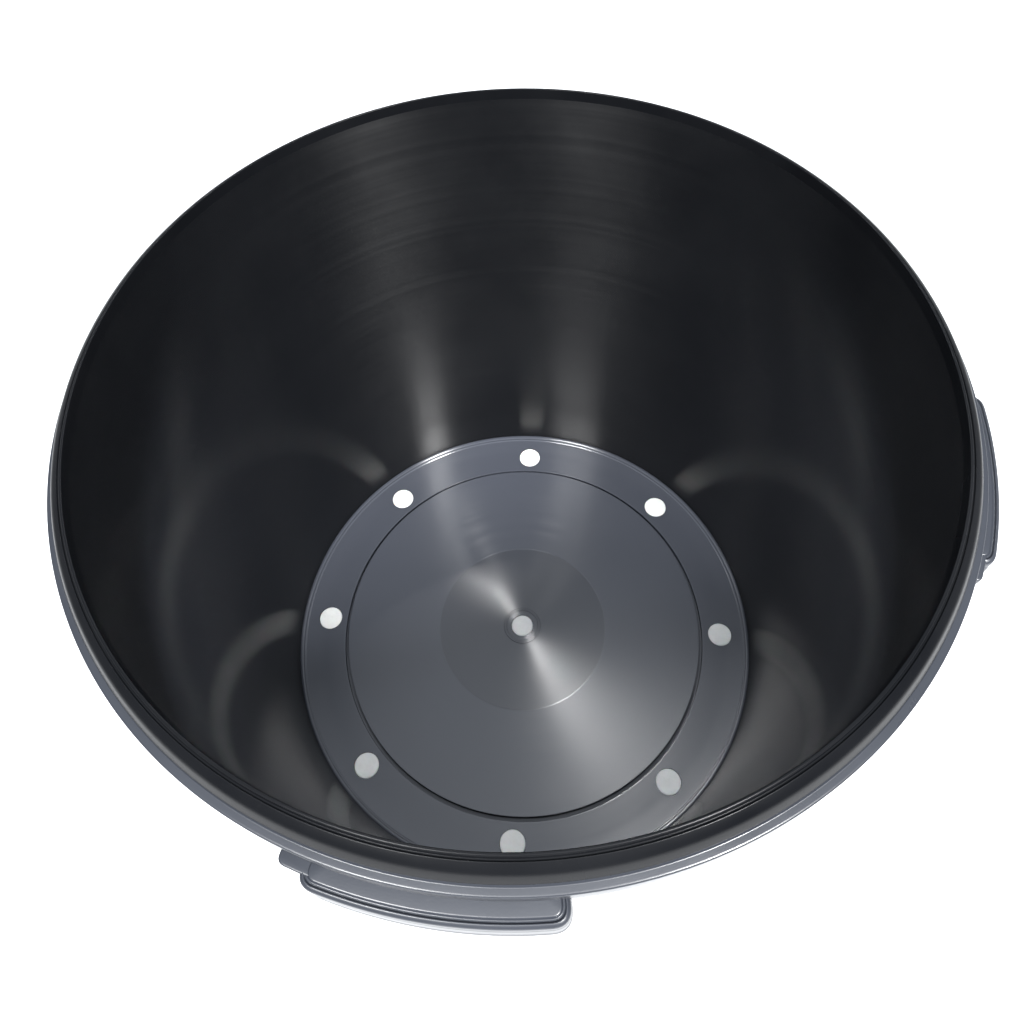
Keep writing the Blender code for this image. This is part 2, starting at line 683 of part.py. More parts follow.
def make_feet(rubber, steel):
    for number, angle in enumerate(foot_angles(), 1):
        place = polar(FOOT_CIRCLE, angle)
        move = Matrix.Translation(place)
        bore = SMALL_SCREW_SHANK + GAP
        well = 0.0042
        foot = bmesh.new()
        profile = [
            (bore, FOOT_HEIGHT),
            (FOOT_RADIUS, FOOT_HEIGHT),
            (FOOT_RADIUS, 0.0035),
            (FOOT_RADIUS - 0.0010, 0.0008),
            (FOOT_RADIUS - 0.0020, 0.0),
            (well, 0.0),
            (well, 0.0050),
            (bore, 0.0050),
        ]
        add_turned(foot, profile, SMALL_SEGMENTS, move)
        new_object(f"foot_{number}", foot, rubber, None, place)
        screw = bmesh.new()
        add_turned(screw, small_screw(0.0050 - GAP, LUG_TOP - 0.004, -1), HOLE_SEGMENTS, move)
        new_object(f"foot_screw_{number}", screw, steel, None, place)
    for number, angle in enumerate(deck_screw_angles(), 1):
        place = polar(DECK_SCREW_CIRCLE, angle)
        screw = bmesh.new()
        profile = small_screw(DECK_TOP + GAP, BASE_TOP - 0.008, 1)
        add_turned(screw, profile, HOLE_SEGMENTS, Matrix.Translation(place))
        new_object(f"deck_screw_{number}", screw, steel, None, place)


def make_switch(materials, pivot):
    face = PAD_FACE + GAP
    front = face + 0.0026
    out = sideways(-1, SWITCH_HEIGHT)
    bm = bmesh.new()
    add_prism(bm, rounded_box(SWITCH_WIDTH, SWITCH_TALL, 0.003), face, front, out)
    bezel = new_object("switch_bezel", bm, materials["trim"])
    neck = bmesh.new()
    add_prism(neck, rounded_box(SWITCH_NECK_WIDTH, SWITCH_NECK_TALL, 0.001), PAD_BACK, face + 0.001, out)
    combine(bezel, neck, "UNION", "switch_bezel_neck")
    hole = bmesh.new()
    outline = rounded_box(SWITCH_HOLE_WIDTH, SWITCH_HOLE_TALL, 0.0006)
    add_prism(hole, outline, PAD_BACK - OVERRUN, front + OVERRUN, out)
    combine(bezel, hole, "DIFFERENCE", "switch_bezel_hole")

    upper_end = arc_points((0, 0), ROCKER_RADIUS, 62, 125, 5)
    lower_end = arc_points((0, 0), ROCKER_RADIUS, 235, 298, 5)
    outline = [(0.0018, 0.0), *upper_end, *lower_end]
    half = SWITCH_HOLE_WIDTH / 2 - 0.0004
    side_on = Matrix(((0, 0, -1, 0), (-1, 0, 0, 0), (0, 1, 0, 0), (0, 0, 0, 1)))
    tilt = Matrix.Rotation(radians(ROCKER_REST_TILT), 4, "X")
    rocker = bmesh.new()
    add_prism(rocker, outline, -half, half, Matrix.Translation(pivot.location) @ tilt @ side_on)
    new_object("switch_rocker", rocker, materials["rocker"], pivot, pivot.location)


def make_gland(materials):
    out = sideways(1, GLAND_HEIGHT)
    face = PAD_FACE + GAP
    profile = [
        (GLAND_BORE, face + 0.016),
        (GLAND_BORE + 0.0015, face + 0.016),
        (GLAND_RADIUS - 0.001, face + 0.009),
        (GLAND_RADIUS - 0.001, face + 0.005),
        (GLAND_RADIUS, face + 0.005),
        (GLAND_RADIUS, face),
        (GLAND_NECK, face),
        (GLAND_NECK, PAD_BACK - 0.008),
        (GLAND_BORE, PAD_BACK - 0.008),
    ]
    gland = bmesh.new()
    add_turned(gland, profile, SMALL_SEGMENTS, out)
    new_object("cable_gland", gland, materials["trim"], None, (0, PAD_FACE, GLAND_HEIGHT))
    nut = bmesh.new()
    add_prism(nut, hexagon(GLAND_RADIUS + 0.001), PAD_BACK - 0.005, PAD_BACK - GAP, out)
    nut_object = new_object("gland_nut", nut, materials["trim"], None, (0, PAD_BACK, GLAND_HEIGHT))
    hole = bmesh.new()
    add_turned(hole, disc(GLAND_NECK + GAP, PAD_BACK - 0.02, PAD_BACK + OVERRUN), SMALL_SEGMENTS, out)
    combine(nut_object, hole, "DIFFERENCE", "gland_nut_hole")


def make_materials():
    return {
        "tub": make_material("glossy_black_tub", (0.012, 0.013, 0.016), 0.22),
        "bolt": make_material("white_nylon", (0.80, 0.80, 0.78), 0.45),
        "rubber": make_material("black_rubber", (0.02, 0.02, 0.02), 0.85),
        "plate": make_material("zinc_plate", (0.55, 0.56, 0.58), 0.38, 1.0),
        "steel": make_material("bright_steel", (0.62, 0.62, 0.63), 0.28, 1.0),
        "motor": make_material("cast_aluminium", (0.48, 0.49, 0.50), 0.45, 1.0),
        "core": make_material("laminated_core", (0.22, 0.20, 0.19), 0.55, 1.0),
        "weight": make_material("cast_weight", (0.20, 0.20, 0.21), 0.60, 1.0),
        "base": make_material("textured_black_base", (0.018, 0.018, 0.020), 0.50),
        "trim": make_material("moulded_trim", (0.015, 0.015, 0.016), 0.40),
        "rocker": make_material("rocker_red", (0.45, 0.02, 0.02), 0.35),
    }


def build():
    clear_scene()
    materials = make_materials()
    carrier = add_empty("carrier_frame", (0, 0, CARRIER_BOTTOM))
    rotor = add_empty("rotor_axis", (0, 0, SHAFT_BOTTOM))
    pivot = add_empty("switch_pivot", (0, -PAD_FACE, SWITCH_HEIGHT))
    bpy.context.view_layer.update()
    make_tub(materials["tub"], carrier)
    make_floor_bolts(materials["bolt"], carrier)
    make_floor_nuts(materials["bolt"], carrier)
    make_seal_pad(materials["rubber"], carrier)
    make_carrier_plate(materials["plate"], carrier)
    make_motor(materials, carrier)
    make_rotor(materials, rotor)
    make_springs(materials["steel"])
    make_base_shell(materials["base"])
    make_base_plate(materials["plate"])
    make_deck_ring(materials["plate"])
    make_feet(materials["rubber"], materials["steel"])
    make_switch(materials, pivot)
    make_gland(materials)


build()
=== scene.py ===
"""The look of the vibratory rock tumbler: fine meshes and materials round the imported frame."""

from math import atan, cos, degrees, pi, radians, sin

import bmesh
import bpy
from mathutils import Matrix, Vector


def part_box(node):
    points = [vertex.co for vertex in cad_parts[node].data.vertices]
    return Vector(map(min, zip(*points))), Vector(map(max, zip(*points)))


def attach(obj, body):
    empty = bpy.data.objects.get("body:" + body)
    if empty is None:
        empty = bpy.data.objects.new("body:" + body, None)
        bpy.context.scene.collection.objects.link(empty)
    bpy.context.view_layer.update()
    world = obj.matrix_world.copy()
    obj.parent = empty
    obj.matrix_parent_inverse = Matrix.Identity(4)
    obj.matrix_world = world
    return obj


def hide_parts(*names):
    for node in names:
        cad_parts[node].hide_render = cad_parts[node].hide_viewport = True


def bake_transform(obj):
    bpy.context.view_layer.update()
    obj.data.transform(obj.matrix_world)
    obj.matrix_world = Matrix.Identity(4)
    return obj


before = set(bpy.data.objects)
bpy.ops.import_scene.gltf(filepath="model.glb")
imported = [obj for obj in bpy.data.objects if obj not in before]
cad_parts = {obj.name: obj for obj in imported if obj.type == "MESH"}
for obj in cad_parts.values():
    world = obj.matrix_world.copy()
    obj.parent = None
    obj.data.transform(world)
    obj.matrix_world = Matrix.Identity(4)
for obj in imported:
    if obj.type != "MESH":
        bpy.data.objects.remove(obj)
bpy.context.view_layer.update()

# -------------------- places read from the frame

RING_COUNT = 8
RING_CIRCLE = (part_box("ring_bolt_1")[0].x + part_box("ring_bolt_1")[1].x) / 2
BOLT_SINK = 0.0001
FLOOR_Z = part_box("ring_bolt_1")[1].z + BOLT_SINK
TUB_LOW, TUB_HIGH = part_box("tub")
FLOOR_THICKNESS = FLOOR_Z - TUB_LOW.z
RIM_HEIGHT = TUB_HIGH.z - FLOOR_Z

# The tub's section. It follows the CAD model's, with a smaller fillet and a finer groove, skirt and grips.
RIM_RADIUS = 0.1250
FLOOR_RADIUS = 0.1137
WALL = 0.0026
FLOOR_FILLET = 0.0014
FOOT_FILLET = 0.0040
PLATEAU_RADIUS = 0.0897
PLATEAU_HEIGHT = 0.0018
PLATEAU_DISH = 0.0012
GATE_RADIUS = 0.0420
GATE_STEP = 0.0001
BOSS_IN = 0.0078
BOSS_OUT = 0.0094
BOSS_HEIGHT = 0.0001
BOSS_SLOPE = 0.0003
GROOVE_FLOOR = -0.0024
GROOVE_WIDTH = 0.0018
SHOULDER_OUT = 0.0056
SHOULDER_DROP = 0.0060
SKIRT_RADIUS = 0.1330
LEDGE_DROP = 0.0082
LEDGE_THICKNESS = 0.0024
SKIRT_DROP = 0.0170
SKIRT_THICKNESS = 0.0025
GRIP_RADIUS = 0.1391
GRIP_TOP_DROP = 0.0140
GRIP_BOTTOM_DROP = 0.0290
GRIP_CORNER = 0.0052
GRIP_ROOT = RIM_RADIUS + 0.0006
WING_SWEEP = 2.1
WING_OVERLAP = 4.0
WING_CORNER_SWEEP = 2.0
WING_RADIUS = 0.1359
WING_CORNER = 0.0022
GRIPS = {"front_grip": (-107.2, -80.9), "side_grip": (-22.4, 1.3)}

# Other sizes that the frame doesn't give
BOLT_CLEARANCE = 0.00012
BOLT_HEAD = 0.0024
BOLT_SHANK_RADIUS = 0.0030
CARRIER_THICKNESS = 0.0043
PEG_RADIUS = 0.0064
SPRING_WIRE = 0.0011
SPRING_TURNS = 5
SPRING_RADIUS = 0.0090
SHAFT_BORE = 0.0053
WEIGHT_HUB = 0.0110
MOTOR_BORE = 0.0113
MOTOR_RIBS = 6
MOTOR_RIB_STEP = 0.0070
SHELL_WALL = 0.0030
SHELL_FLANGE = 0.0920
VENTS = 7
VENT_STEP = 7.0
VENT_WIDTH = 0.0045
VENT_LENGTH = 0.0400
VENT_HEIGHT = 0.0580
DECK_BORE = 0.0620
ROCKER_PIVOT_Y = -0.110
ROCKER_REACH = 0.0069
ROCKER_VALLEY = 0.0018
ROCKER_TILT = 6
GLAND_BORE = 0.0042

# Segments of a turned piece, by its size
ROUND = 256
MEDIUM = 128
BEARING = 64
SMALL = 48
FINE = 32
TINY = 16

# A point nearer the axis than this lies on it
ON_AXIS = 1e-7


# -------------------- mesh helpers

def polar(radius, angle, z=0.0):
    return Vector((radius * cos(radians(angle)), radius * sin(radians(angle)), z))


def arc(centre, radius, first, last, steps):
    """Points on an arc between two angles in degrees."""
    turns = [radians(first + (last - first) * i / steps) for i in range(steps + 1)]
    return [(centre[0] + radius * cos(t), centre[1] + radius * sin(t)) for t in turns]


def rounded_corner(first, corner, last, steps):
    """A curve from one point to another that bends towards the corner between them."""
    shares = [k / steps for k in range(steps + 1)]
    return [first * (1 - s) ** 2 + corner * 2 * s * (1 - s) + last * s ** 2 for s in shares]


def softened(points, radius, steps=3, closed=False):
    """Rounds an outline's corners. A point (x, y, r) has a corner radius of its own."""
    result = []
    count = len(points)
    for i, point in enumerate(points):
        here = Vector(point[:2])
        size = point[2] if len(point) > 2 else radius
        at_end = not closed and i in (0, count - 1)
        if at_end or size <= 0.0:
            result.append(tuple(here))
            continue
        before = Vector(points[i - 1][:2]) - here
        after = Vector(points[(i + 1) % count][:2]) - here
        reach = min(size, 0.45 * before.length, 0.45 * after.length)
        first, last = here + before.normalized() * reach, here + after.normalized() * reach
        result += [tuple(p) for p in rounded_corner(first, here, last, steps)]
    return result


def add_lathe(bm, profile, segments, zones=None, matrix=None):
    """Turns an outline of (radius, z) round Z. zones gives each span's material index."""
    start = len(bm.verts)
    rings = []
    for r, z in profile:
        if r < ON_AXIS:
            rings.append([bm.verts.new((0.0, 0.0, z))] * segments)
        else:
            rings.append([bm.verts.new(polar(r, 360 * k / segments, z)) for k in range(segments)])
    spans = list(zip(rings, rings[1:]))
    if profile[0][0] > ON_AXIS:
        spans.append((rings[-1], rings[0]))
    made = []
    for number, (a, b) in enumerate(spans):
        for k in range(segments):
            corners = [a[k], a[(k + 1) % segments], b[(k + 1) % segments], b[k]]
            corners = [v for i, v in enumerate(corners) if v not in corners[:i]]
            if len(corners) > 2:
                face = bm.faces.new(corners)
                face.material_index = zones[number] if zones else 0
                made.append(face)
    bmesh.ops.recalc_face_normals(bm, faces=made)
    bm.verts.ensure_lookup_table()
    if matrix is not None:
        bmesh.ops.transform(bm, matrix=matrix, verts=bm.verts[start:])


def add_slab(bm, outline, low, high, matrix=None):
    """Extrudes an outline of (x, y) points from one height to another."""
    start = len(bm.verts)
    lower = [bm.verts.new((x, y, low)) for x, y in outline]
    upper = [bm.verts.new((x, y, high)) for x, y in outline]
    made = [bm.faces.new(lower), bm.faces.new(upper)]
    for i in range(len(outline)):
        k = (i + 1) % len(outline)
        made.append(bm.faces.new((lower[i], lower[k], upper[k], upper[i])))
    bmesh.ops.recalc_face_normals(bm, faces=made)
    bm.verts.ensure_lookup_table()
    if matrix is not None:
        bmesh.ops.transform(bm, matrix=matrix, verts=bm.verts[start:])


def add_tube(bm, path, radius, sides):
    """A round tube along a list of points, with flat ends."""
    rings = []
    side = Vector((0, 0, 1))
    for i, point in enumerate(path):
        ahead = path[min(i + 1, len(path) - 1)] - path[max(i - 1, 0)]
        ahead.normalize()
        across = ahead.cross(side).normalized()
        up = across.cross(ahead)
        turns = [2 * pi * k / sides for k in range(sides)]
        spokes = [across * cos(t) + up * sin(t) for t in turns]
        rings.append([bm.verts.new(point + spoke * radius) for spoke in spokes])
    made = [bm.faces.new(rings[0]), bm.faces.new(rings[-1])]
    for a, b in zip(rings, rings[1:]):
        for k in range(sides):
            n = (k + 1) % sides
            made.append(bm.faces.new((a[k], a[n], b[n], b[k])))
    bmesh.ops.recalc_face_normals(bm, faces=made)


def post(radius, first, last):
    """The outline of a solid post between two heights, for add_lathe."""
    return [(0.0, first), (radius, first), (radius, last), (0.0, last)]


def box_outline(width, height, corner, steps=6):
    """A rectangle about the origin with round corners."""
    points = []
    for sx, sy, first in ((1, 1, 0), (-1, 1, 90), (-1, -1, 180), (1, -1, 270)):
        centre = (sx * (width / 2 - corner), sy * (height / 2 - corner))
        points += arc(centre, corner, first, first + 90, steps)
    return points


def new_object(name, bm, *materials):
    mesh = bpy.data.meshes.new(name)
    bm.to_mesh(mesh)
    bm.free()
    for material in materials:
        mesh.materials.append(material)
    obj = bpy.data.objects.new(name, mesh)
    bpy.context.scene.collection.objects.link(obj)
    return obj


def shade(obj, angle=32):
    obj.data.shade_smooth()
    obj.data.set_sharp_from_angle(angle=radians(angle))


def apply_modifiers(obj):
    """Puts the modifiers' result into the mesh."""
    graph = bpy.context.evaluated_depsgraph_get()
    mesh = bpy.data.meshes.new_from_object(obj.evaluated_get(graph))
    obj.modifiers.clear()
    obj.data = mesh


def cut(obj, cutter_bm, operation="DIFFERENCE"):
    """Applies an exact Boolean of the object with a mesh that is then removed."""
    cutter = new_object(obj.name + "_cutter", cutter_bm)
    modifier = obj.modifiers.new("cut", "BOOLEAN")
    modifier.operation = operation
    modifier.solver = "EXACT"
    modifier.object = cutter
    apply_modifiers(obj)
    bpy.data.objects.remove(cutter)


def bevel(obj, width, segments=2, angle=35):
    modifier = obj.modifiers.new("bevel", "BEVEL")
    modifier.width = width
    modifier.segments = segments
    modifier.limit_method = "ANGLE"
    modifier.angle_limit = radians(angle)
    apply_modifiers(obj)


def place(obj, body, slot, *nodes, angle=32):
    """Shades a finished piece, rides it on its body and hides the CAD nodes it stands for."""
    shade(obj, angle)
    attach(obj, body)
    if nodes:
        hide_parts(*nodes)


def add_piece(name, bm, material, body, *nodes):
    """Makes a finished mesh a piece in its material, riding on its body in place of the given CAD nodes.
    """
    place(new_object(name, bm, MATERIALS[material]), body, material, *nodes)


def upright(node):
    """A round upright node's radius, foot and top, and the move from the origin to its axis."""
    low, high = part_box(node)
    centre = (low + high) / 2
    return (high.x - low.x) / 2, low.z, high.z, Matrix.Translation((centre.x, centre.y, 0))


# -------------------- materials

class Surface:
    """A Principled material with short calls for the nodes that feed it."""

    def __init__(self, name, colour, roughness, metallic=0.0):
        self.material = bpy.data.materials.new(name)
        self.material.use_nodes = True
        self.tree = self.material.node_tree
        self.shader = self.tree.nodes["Principled BSDF"]
        self.shader.inputs["Base Color"].default_value = (*colour, 1.0)
        self.shader.inputs["Roughness"].default_value = roughness
        self.shader.inputs["Metallic"].default_value = metallic
        self.material.diffuse_color = (*colour, 1.0)
        self.position = self.node("ShaderNodeTexCoord").outputs["Object"]
        self.normal = None

    def node(self, kind, **settings):
        made = self.tree.nodes.new(kind)
        for key, value in settings.items():
            setattr(made, key, value)
        return made

    def link(self, source, target):
        if isinstance(source, (int, float)):
            target.default_value = source
        else:
            self.tree.links.new(source, target)

    def set(self, **values):
        for key, value in values.items():
            self.shader.inputs[key.replace("_", " ")].default_value = value

    def math(self, operation, a, b=0.0, c=0.0, clamp=False):
        made = self.node("ShaderNodeMath", operation=operation, use_clamp=clamp)
        for value, socket in zip((a, b, c), made.inputs):
            self.link(value, socket)
        return made.outputs[0]

    def scaled(self, x, y, z):
        """The object coordinates times a vector."""
        made = self.node("ShaderNodeVectorMath", operation="MULTIPLY")
        self.link(self.position, made.inputs[0])
        made.inputs[1].default_value = (x, y, z)
        return made.outputs[0]

    def radius(self):
        """Distance from the part's axis."""
        made = self.node("ShaderNodeVectorMath", operation="LENGTH")
        self.link(self.scaled(1, 1, 0), made.inputs[0])
        return made.outputs["Value"]

    def height(self):
        made = self.node("ShaderNodeSeparateXYZ")
        self.link(self.position, made.inputs[0])
        return made.outputs["Z"]

    def noise(self, scale, detail=3.0, roughness=0.55, vector=None, w=None):
        """Noise from 0 to 1, over space or, with w, along one number."""
        made = self.node("ShaderNodeTexNoise")
        made.inputs["Scale"].default_value = scale
        made.inputs["Detail"].default_value = detail
        made.inputs["Roughness"].default_value = roughness
        if w is not None:
            made.noise_dimensions = "1D"
            self.link(w, made.inputs["W"])
        else:
            self.link(vector or self.position, made.inputs["Vector"])
        return made.outputs["Fac"]

    def remap(self, value, low, high, to_low, to_high):
        made = self.node("ShaderNodeMapRange")
        self.link(value, made.inputs["Value"])
        limits = {"From Min": low, "From Max": high, "To Min": to_low, "To Max": to_high}
        for key, number in limits.items():
            made.inputs[key].default_value = number
        return made.outputs["Result"]

    def mix(self, factor, a, b):
        made = self.node("ShaderNodeMix", data_type="RGBA")
        self.link(factor, made.inputs["Factor"])
        for value, socket in ((a, made.inputs["A"]), (b, made.inputs["B"])):
            if isinstance(value, tuple):
                socket.default_value = (*value, 1.0)
            else:
                self.link(value, socket)
        return made.outputs["Result"]

    def use_colour(self, output):
        self.link(output, self.shader.inputs["Base Color"])

    def use_roughness(self, output):
        self.link(output, self.shader.inputs["Roughness"])

    def comb_round_axis(self, amount):
        """Stretches highlights across rings that run round the part's axis."""
        self.set(Anisotropic=amount, Anisotropic_Rotation=0.25)
        tangent = self.node("ShaderNodeTangent", direction_type="RADIAL", axis="Z")
        self.link(tangent.outputs["Tangent"], self.shader.inputs["Tangent"])

    def bump(self, height, strength, distance):
        made = self.node("ShaderNodeBump")
        made.inputs["Strength"].default_value = strength
        made.inputs["Distance"].default_value = distance
        self.link(height, made.inputs["Height"])
        if self.normal is not None:
            self.link(self.normal, made.inputs["Normal"])
        self.normal = made.outputs["Normal"]
        self.link(self.normal, self.shader.inputs["Normal"])


PLASTIC_IOR = 1.49
DUST_COLOUR = (0.32, 0.33, 0.34)


def turned_plastic(name, colour, roughness, anisotropy, along, groove, dust):
    """Black plastic moulded on a turned tool: fine rings round the axis, which stretch its highlights."""
    s = Surface(name, colour, roughness)
    swing = 0.10 if along == "radius" else 0.05
    s.set(IOR=PLASTIC_IOR)
    s.comb_round_axis(anisotropy)
    run = s.radius() if along == "radius" else s.height()
    rings = s.noise(2600.0, 2.0, 0.7, w=run)
    broad = s.noise(260.0, 3.0, 0.6, w=run)
    smears = s.noise(26.0, 4.0, 0.6)
    specks = s.remap(s.noise(900.0, 2.0, 0.7), 0.66, 0.74, 0.0, 1.0)
    bands = s.math("MULTIPLY_ADD", broad, swing, roughness - swing * 0.6)
    spread = s.remap(smears, 0.3, 0.7, -swing * 0.2, swing * 0.25)
    s.use_roughness(s.math("ADD", bands, spread, clamp=True))
    dusty = s.math("MULTIPLY", specks, s.remap(smears, 0.35, 0.75, 0.0, dust))
    film = s.remap(smears, 0.25, 0.8, 0.0, dust * 0.35)
    tone = colour
    if along == "radius":
        darker = tuple(c * 0.74 for c in colour)
        past_gate = s.remap(run, GATE_RADIUS, GATE_RADIUS + 0.0006, 0.0, 1.0)
        tone = s.mix(past_gate, darker, colour)
    s.use_colour(s.mix(s.math("ADD", dusty, film, clamp=True), tone, DUST_COLOUR))
    s.bump(rings, groove, 0.00006)
    s.bump(broad, groove * 0.5, 0.0002)
    return s.material


def moulded_plastic(name, colour, roughness, grain=0.0, grain_scale=1800.0, wear=0.25, shine=0.5):
    """Moulded plastic with a light grain, faint flow marks and small dusty scuffs."""
    s = Surface(name, colour, roughness)
    s.set(IOR=PLASTIC_IOR, Specular_IOR_Level=shine)
    flow = s.noise(14.0, 4.0, 0.55, s.scaled(1, 1, 0.35))
    fine = s.noise(grain_scale, 2.0, 0.6)
    scuffs = s.remap(s.noise(420.0, 4.0, 0.7), 0.62, 0.74, 0.0, 1.0)
    lighter = tuple(min(1.0, c * 1.5 + 0.003) for c in colour)
    tone = s.mix(s.remap(flow, 0.3, 0.7, 0.0, 0.6), colour, lighter)
    dust = tuple(c * 0.6 + 0.16 for c in colour)
    s.use_colour(s.mix(s.math("MULTIPLY", scuffs, wear * 0.4), tone, dust))
    base = s.remap(flow, 0.3, 0.7, roughness - 0.05, roughness + 0.06)
    s.use_roughness(s.math("MULTIPLY_ADD", scuffs, wear * 0.3, base))
    s.bump(fine, 0.15 + grain, 0.00008)
    s.bump(flow, 0.06, 0.0006)
    return s.material


def rubber(name, colour):
    """Dull rubber with fine pores and a grey bloom."""
    s = Surface(name, colour, 0.82)
    s.set(IOR=1.52, Specular_IOR_Level=0.35)
    pores = s.noise(1400.0, 3.0, 0.7)
    bloom = s.noise(40.0, 4.0, 0.6)
    s.use_colour(s.mix(s.remap(bloom, 0.35, 0.75, 0.0, 0.5), colour, (0.06, 0.06, 0.062)))
    s.use_roughness(s.remap(bloom, 0.3, 0.7, 0.74, 0.92))
    s.bump(pores, 0.35, 0.0001)
    return s.material


def nylon(name, colour):
    """Off-white nylon with faint mottling and a pitted satin face."""
    s = Surface(name, colour, 0.42)
    s.set(IOR=1.53, Specular_IOR_Level=0.15, Subsurface_Weight=0.12, Subsurface_Scale=0.002)
    mottle = s.noise(320.0, 3.0, 0.6)
    pits = s.noise(2400.0, 2.0, 0.6)
    grime = s.remap(s.noise(90.0, 5.0, 0.7), 0.55, 0.78, 0.0, 0.35)
    tone = s.mix(s.remap(mottle, 0.3, 0.7, 0.0, 1.0), colour, tuple(c * 0.92 for c in colour))
    s.use_colour(s.mix(grime, tone, (0.45, 0.44, 0.42)))
    s.use_roughness(s.remap(mottle, 0.3, 0.7, 0.48, 0.62))
    s.bump(pits, 0.2, 0.00006)
    return s.material


def zinc(name):
    """Zinc-plated sheet: faint crystals under a soft bluish shine."""
    s = Surface(name, (0.55, 0.56, 0.58), 0.36, 1.0)
    cells = s.node("ShaderNodeTexVoronoi")
    cells.inputs["Scale"].default_value = 150.0
    s.link(s.position, cells.inputs["Vector"])
    grain = s.node("ShaderNodeSeparateColor")
    s.link(cells.outputs["Color"], grain.inputs[0])
    stain = s.noise(30.0, 5.0, 0.65)
    tone = s.mix(grain.outputs[0], (0.25, 0.26, 0.28), (0.34, 0.34, 0.35))
    s.use_colour(s.mix(s.remap(stain, 0.5, 0.8, 0.0, 0.4), tone, (0.20, 0.19, 0.175)))
    s.use_roughness(s.remap(stain, 0.3, 0.75, 0.36, 0.55))
    s.bump(s.noise(900.0, 3.0, 0.6), 0.12, 0.00005)
    return s.material


def machined(name, colour, roughness, rings=True):
    """Turned or drawn metal: fine rings, or lines along the height, and a little grime."""
    s = Surface(name, colour, roughness, 1.0)
    s.comb_round_axis(0.45)
    lines = s.noise(1500.0, 2.0, 0.6, w=s.radius() if rings else s.height())
    stain = s.noise(70.0, 5.0, 0.7)
    s.use_colour(s.mix(s.remap(stain, 0.52, 0.85, 0.0, 0.6), colour, (0.10, 0.09, 0.08)))
    s.use_roughness(s.remap(stain, 0.3, 0.8, roughness - 0.06, roughness + 0.14))
    s.bump(lines, 0.12, 0.00005)
    return s.material


def cast_metal(name, colour, roughness, grain):
    """Cast metal with a sandy skin and darker patches."""
    s = Surface(name, colour, roughness, 1.0)
    sand = s.noise(1000.0, 4.0, 0.65)
    cloud = s.noise(60.0, 4.0, 0.6)
    dark = tuple(c * 0.55 for c in colour)
    s.use_colour(s.mix(s.remap(cloud, 0.35, 0.75, 0.0, 0.7), colour, dark))
    s.use_roughness(s.remap(cloud, 0.3, 0.7, roughness - 0.06, roughness + 0.1))
    s.bump(sand, grain, 0.00012)
    return s.material


def pale_floor():
    """The plain pale floor of the stage."""
    s = Surface("stage_floor", (0.52, 0.525, 0.53), 0.8)
    s.set(Specular_IOR_Level=0.15)
    return s.material


# The tub is one black plastic, but its zones get lit and shaded copies of its colour. TUB_COLOUR, on the
# wall and rim, is painted shade: darker than the plastic, so the lights leave less haze on them.
# FLOOR_COLOUR is the plastic's colour with painted light added: lighter and bluish, for the grey haze of
# the floor's turned finish under the overhead light. LEDGE_COLOUR, on the ledge and grips, lies between
# them.
TUB_COLOUR = (0.0016, 0.0018, 0.0023)
LEDGE_COLOUR = (0.0090, 0.0103, 0.0135)
FLOOR_COLOUR = (0.0430, 0.0470, 0.0590)
BASE_COLOUR = (0.012, 0.012, 0.0135)


def tub_materials():
    """What the tub's zones are made of: one black plastic, in colours painted zone by zone to how each
    looks under these lights.
    """
    across = {"colour": FLOOR_COLOUR, "anisotropy": 1.0, "along": "radius"}
    along = {"colour": TUB_COLOUR, "anisotropy": 0.92, "along": "height"}
    return {
        "tub_floor": turned_plastic("tub_floor", roughness=0.23, groove=0.018, dust=0.014, **across),
        "tub_ring": turned_plastic("tub_ring", roughness=0.22, groove=0.02, dust=0.010, **across),
        "tub_wall": turned_plastic("tub_wall", roughness=0.25, groove=0.02, dust=0.01, **along),
        "tub_rim": moulded_plastic("tub_rim", TUB_COLOUR, 0.24, 0.02, wear=0.015, shine=0.05),
        "tub_ledge": moulded_plastic("tub_ledge", LEDGE_COLOUR, 0.30, 0.02, wear=0.03, shine=0.30),
    }


def drive_materials():
    """What the bolts, the drive and the base are made of."""
    base_look = {"grain": 0.55, "grain_scale": 1500.0, "wear": 0.12, "shine": 0.35}
    return {
        "nylon_white": nylon("nylon_white", (0.74, 0.74, 0.72)),
        "rubber_black": rubber("rubber_black", (0.018, 0.018, 0.018)),
        "zinc_plate": zinc("zinc_plate"),
        "steel_bright": machined("steel_bright", (0.62, 0.62, 0.63), 0.26),
        "spring_steel": machined("spring_steel", (0.58, 0.58, 0.60), 0.24, rings=False),
        "motor_aluminium": cast_metal("motor_aluminium", (0.50, 0.51, 0.52), 0.42, grain=0.35),
        "core_steel": machined("core_steel", (0.20, 0.18, 0.17), 0.5, rings=False),
        "weight_iron": cast_metal("weight_iron", (0.20, 0.20, 0.21), 0.52, grain=0.5),
        "base_black": moulded_plastic("base_black", BASE_COLOUR, 0.46, **base_look),
        "trim_black": moulded_plastic("trim_black", (0.014, 0.014, 0.015), 0.36, 0.05),
        "rocker_red": moulded_plastic("rocker_red", (0.42, 0.012, 0.014), 0.28, 0.02, wear=0.15),
        "mark_white": nylon("mark_white", (0.80, 0.80, 0.80)),
    }


MATERIALS = {**tub_materials(), **drive_materials()}


# -------------------- the tub

def wall_radius(height):
    rise = (height - FLOOR_FILLET) / (RIM_HEIGHT - FLOOR_FILLET)
    return FLOOR_RADIUS + (RIM_RADIUS - FLOOR_RADIUS) * rise


def dish_height(radius):
    """The raised disc's height over the floor band, a shallow bowl."""
    return PLATEAU_HEIGHT - PLATEAU_DISH * (1 - (radius / PLATEAU_RADIUS) ** 2)


def dish_points(first, last, steps):
    """Points (radius, height) over the raised disc, evenly from one radius to another."""
    radii = [first + (last - first) * step / steps for step in range(steps + 1)]
    return [(radius, dish_height(radius)) for radius in radii]


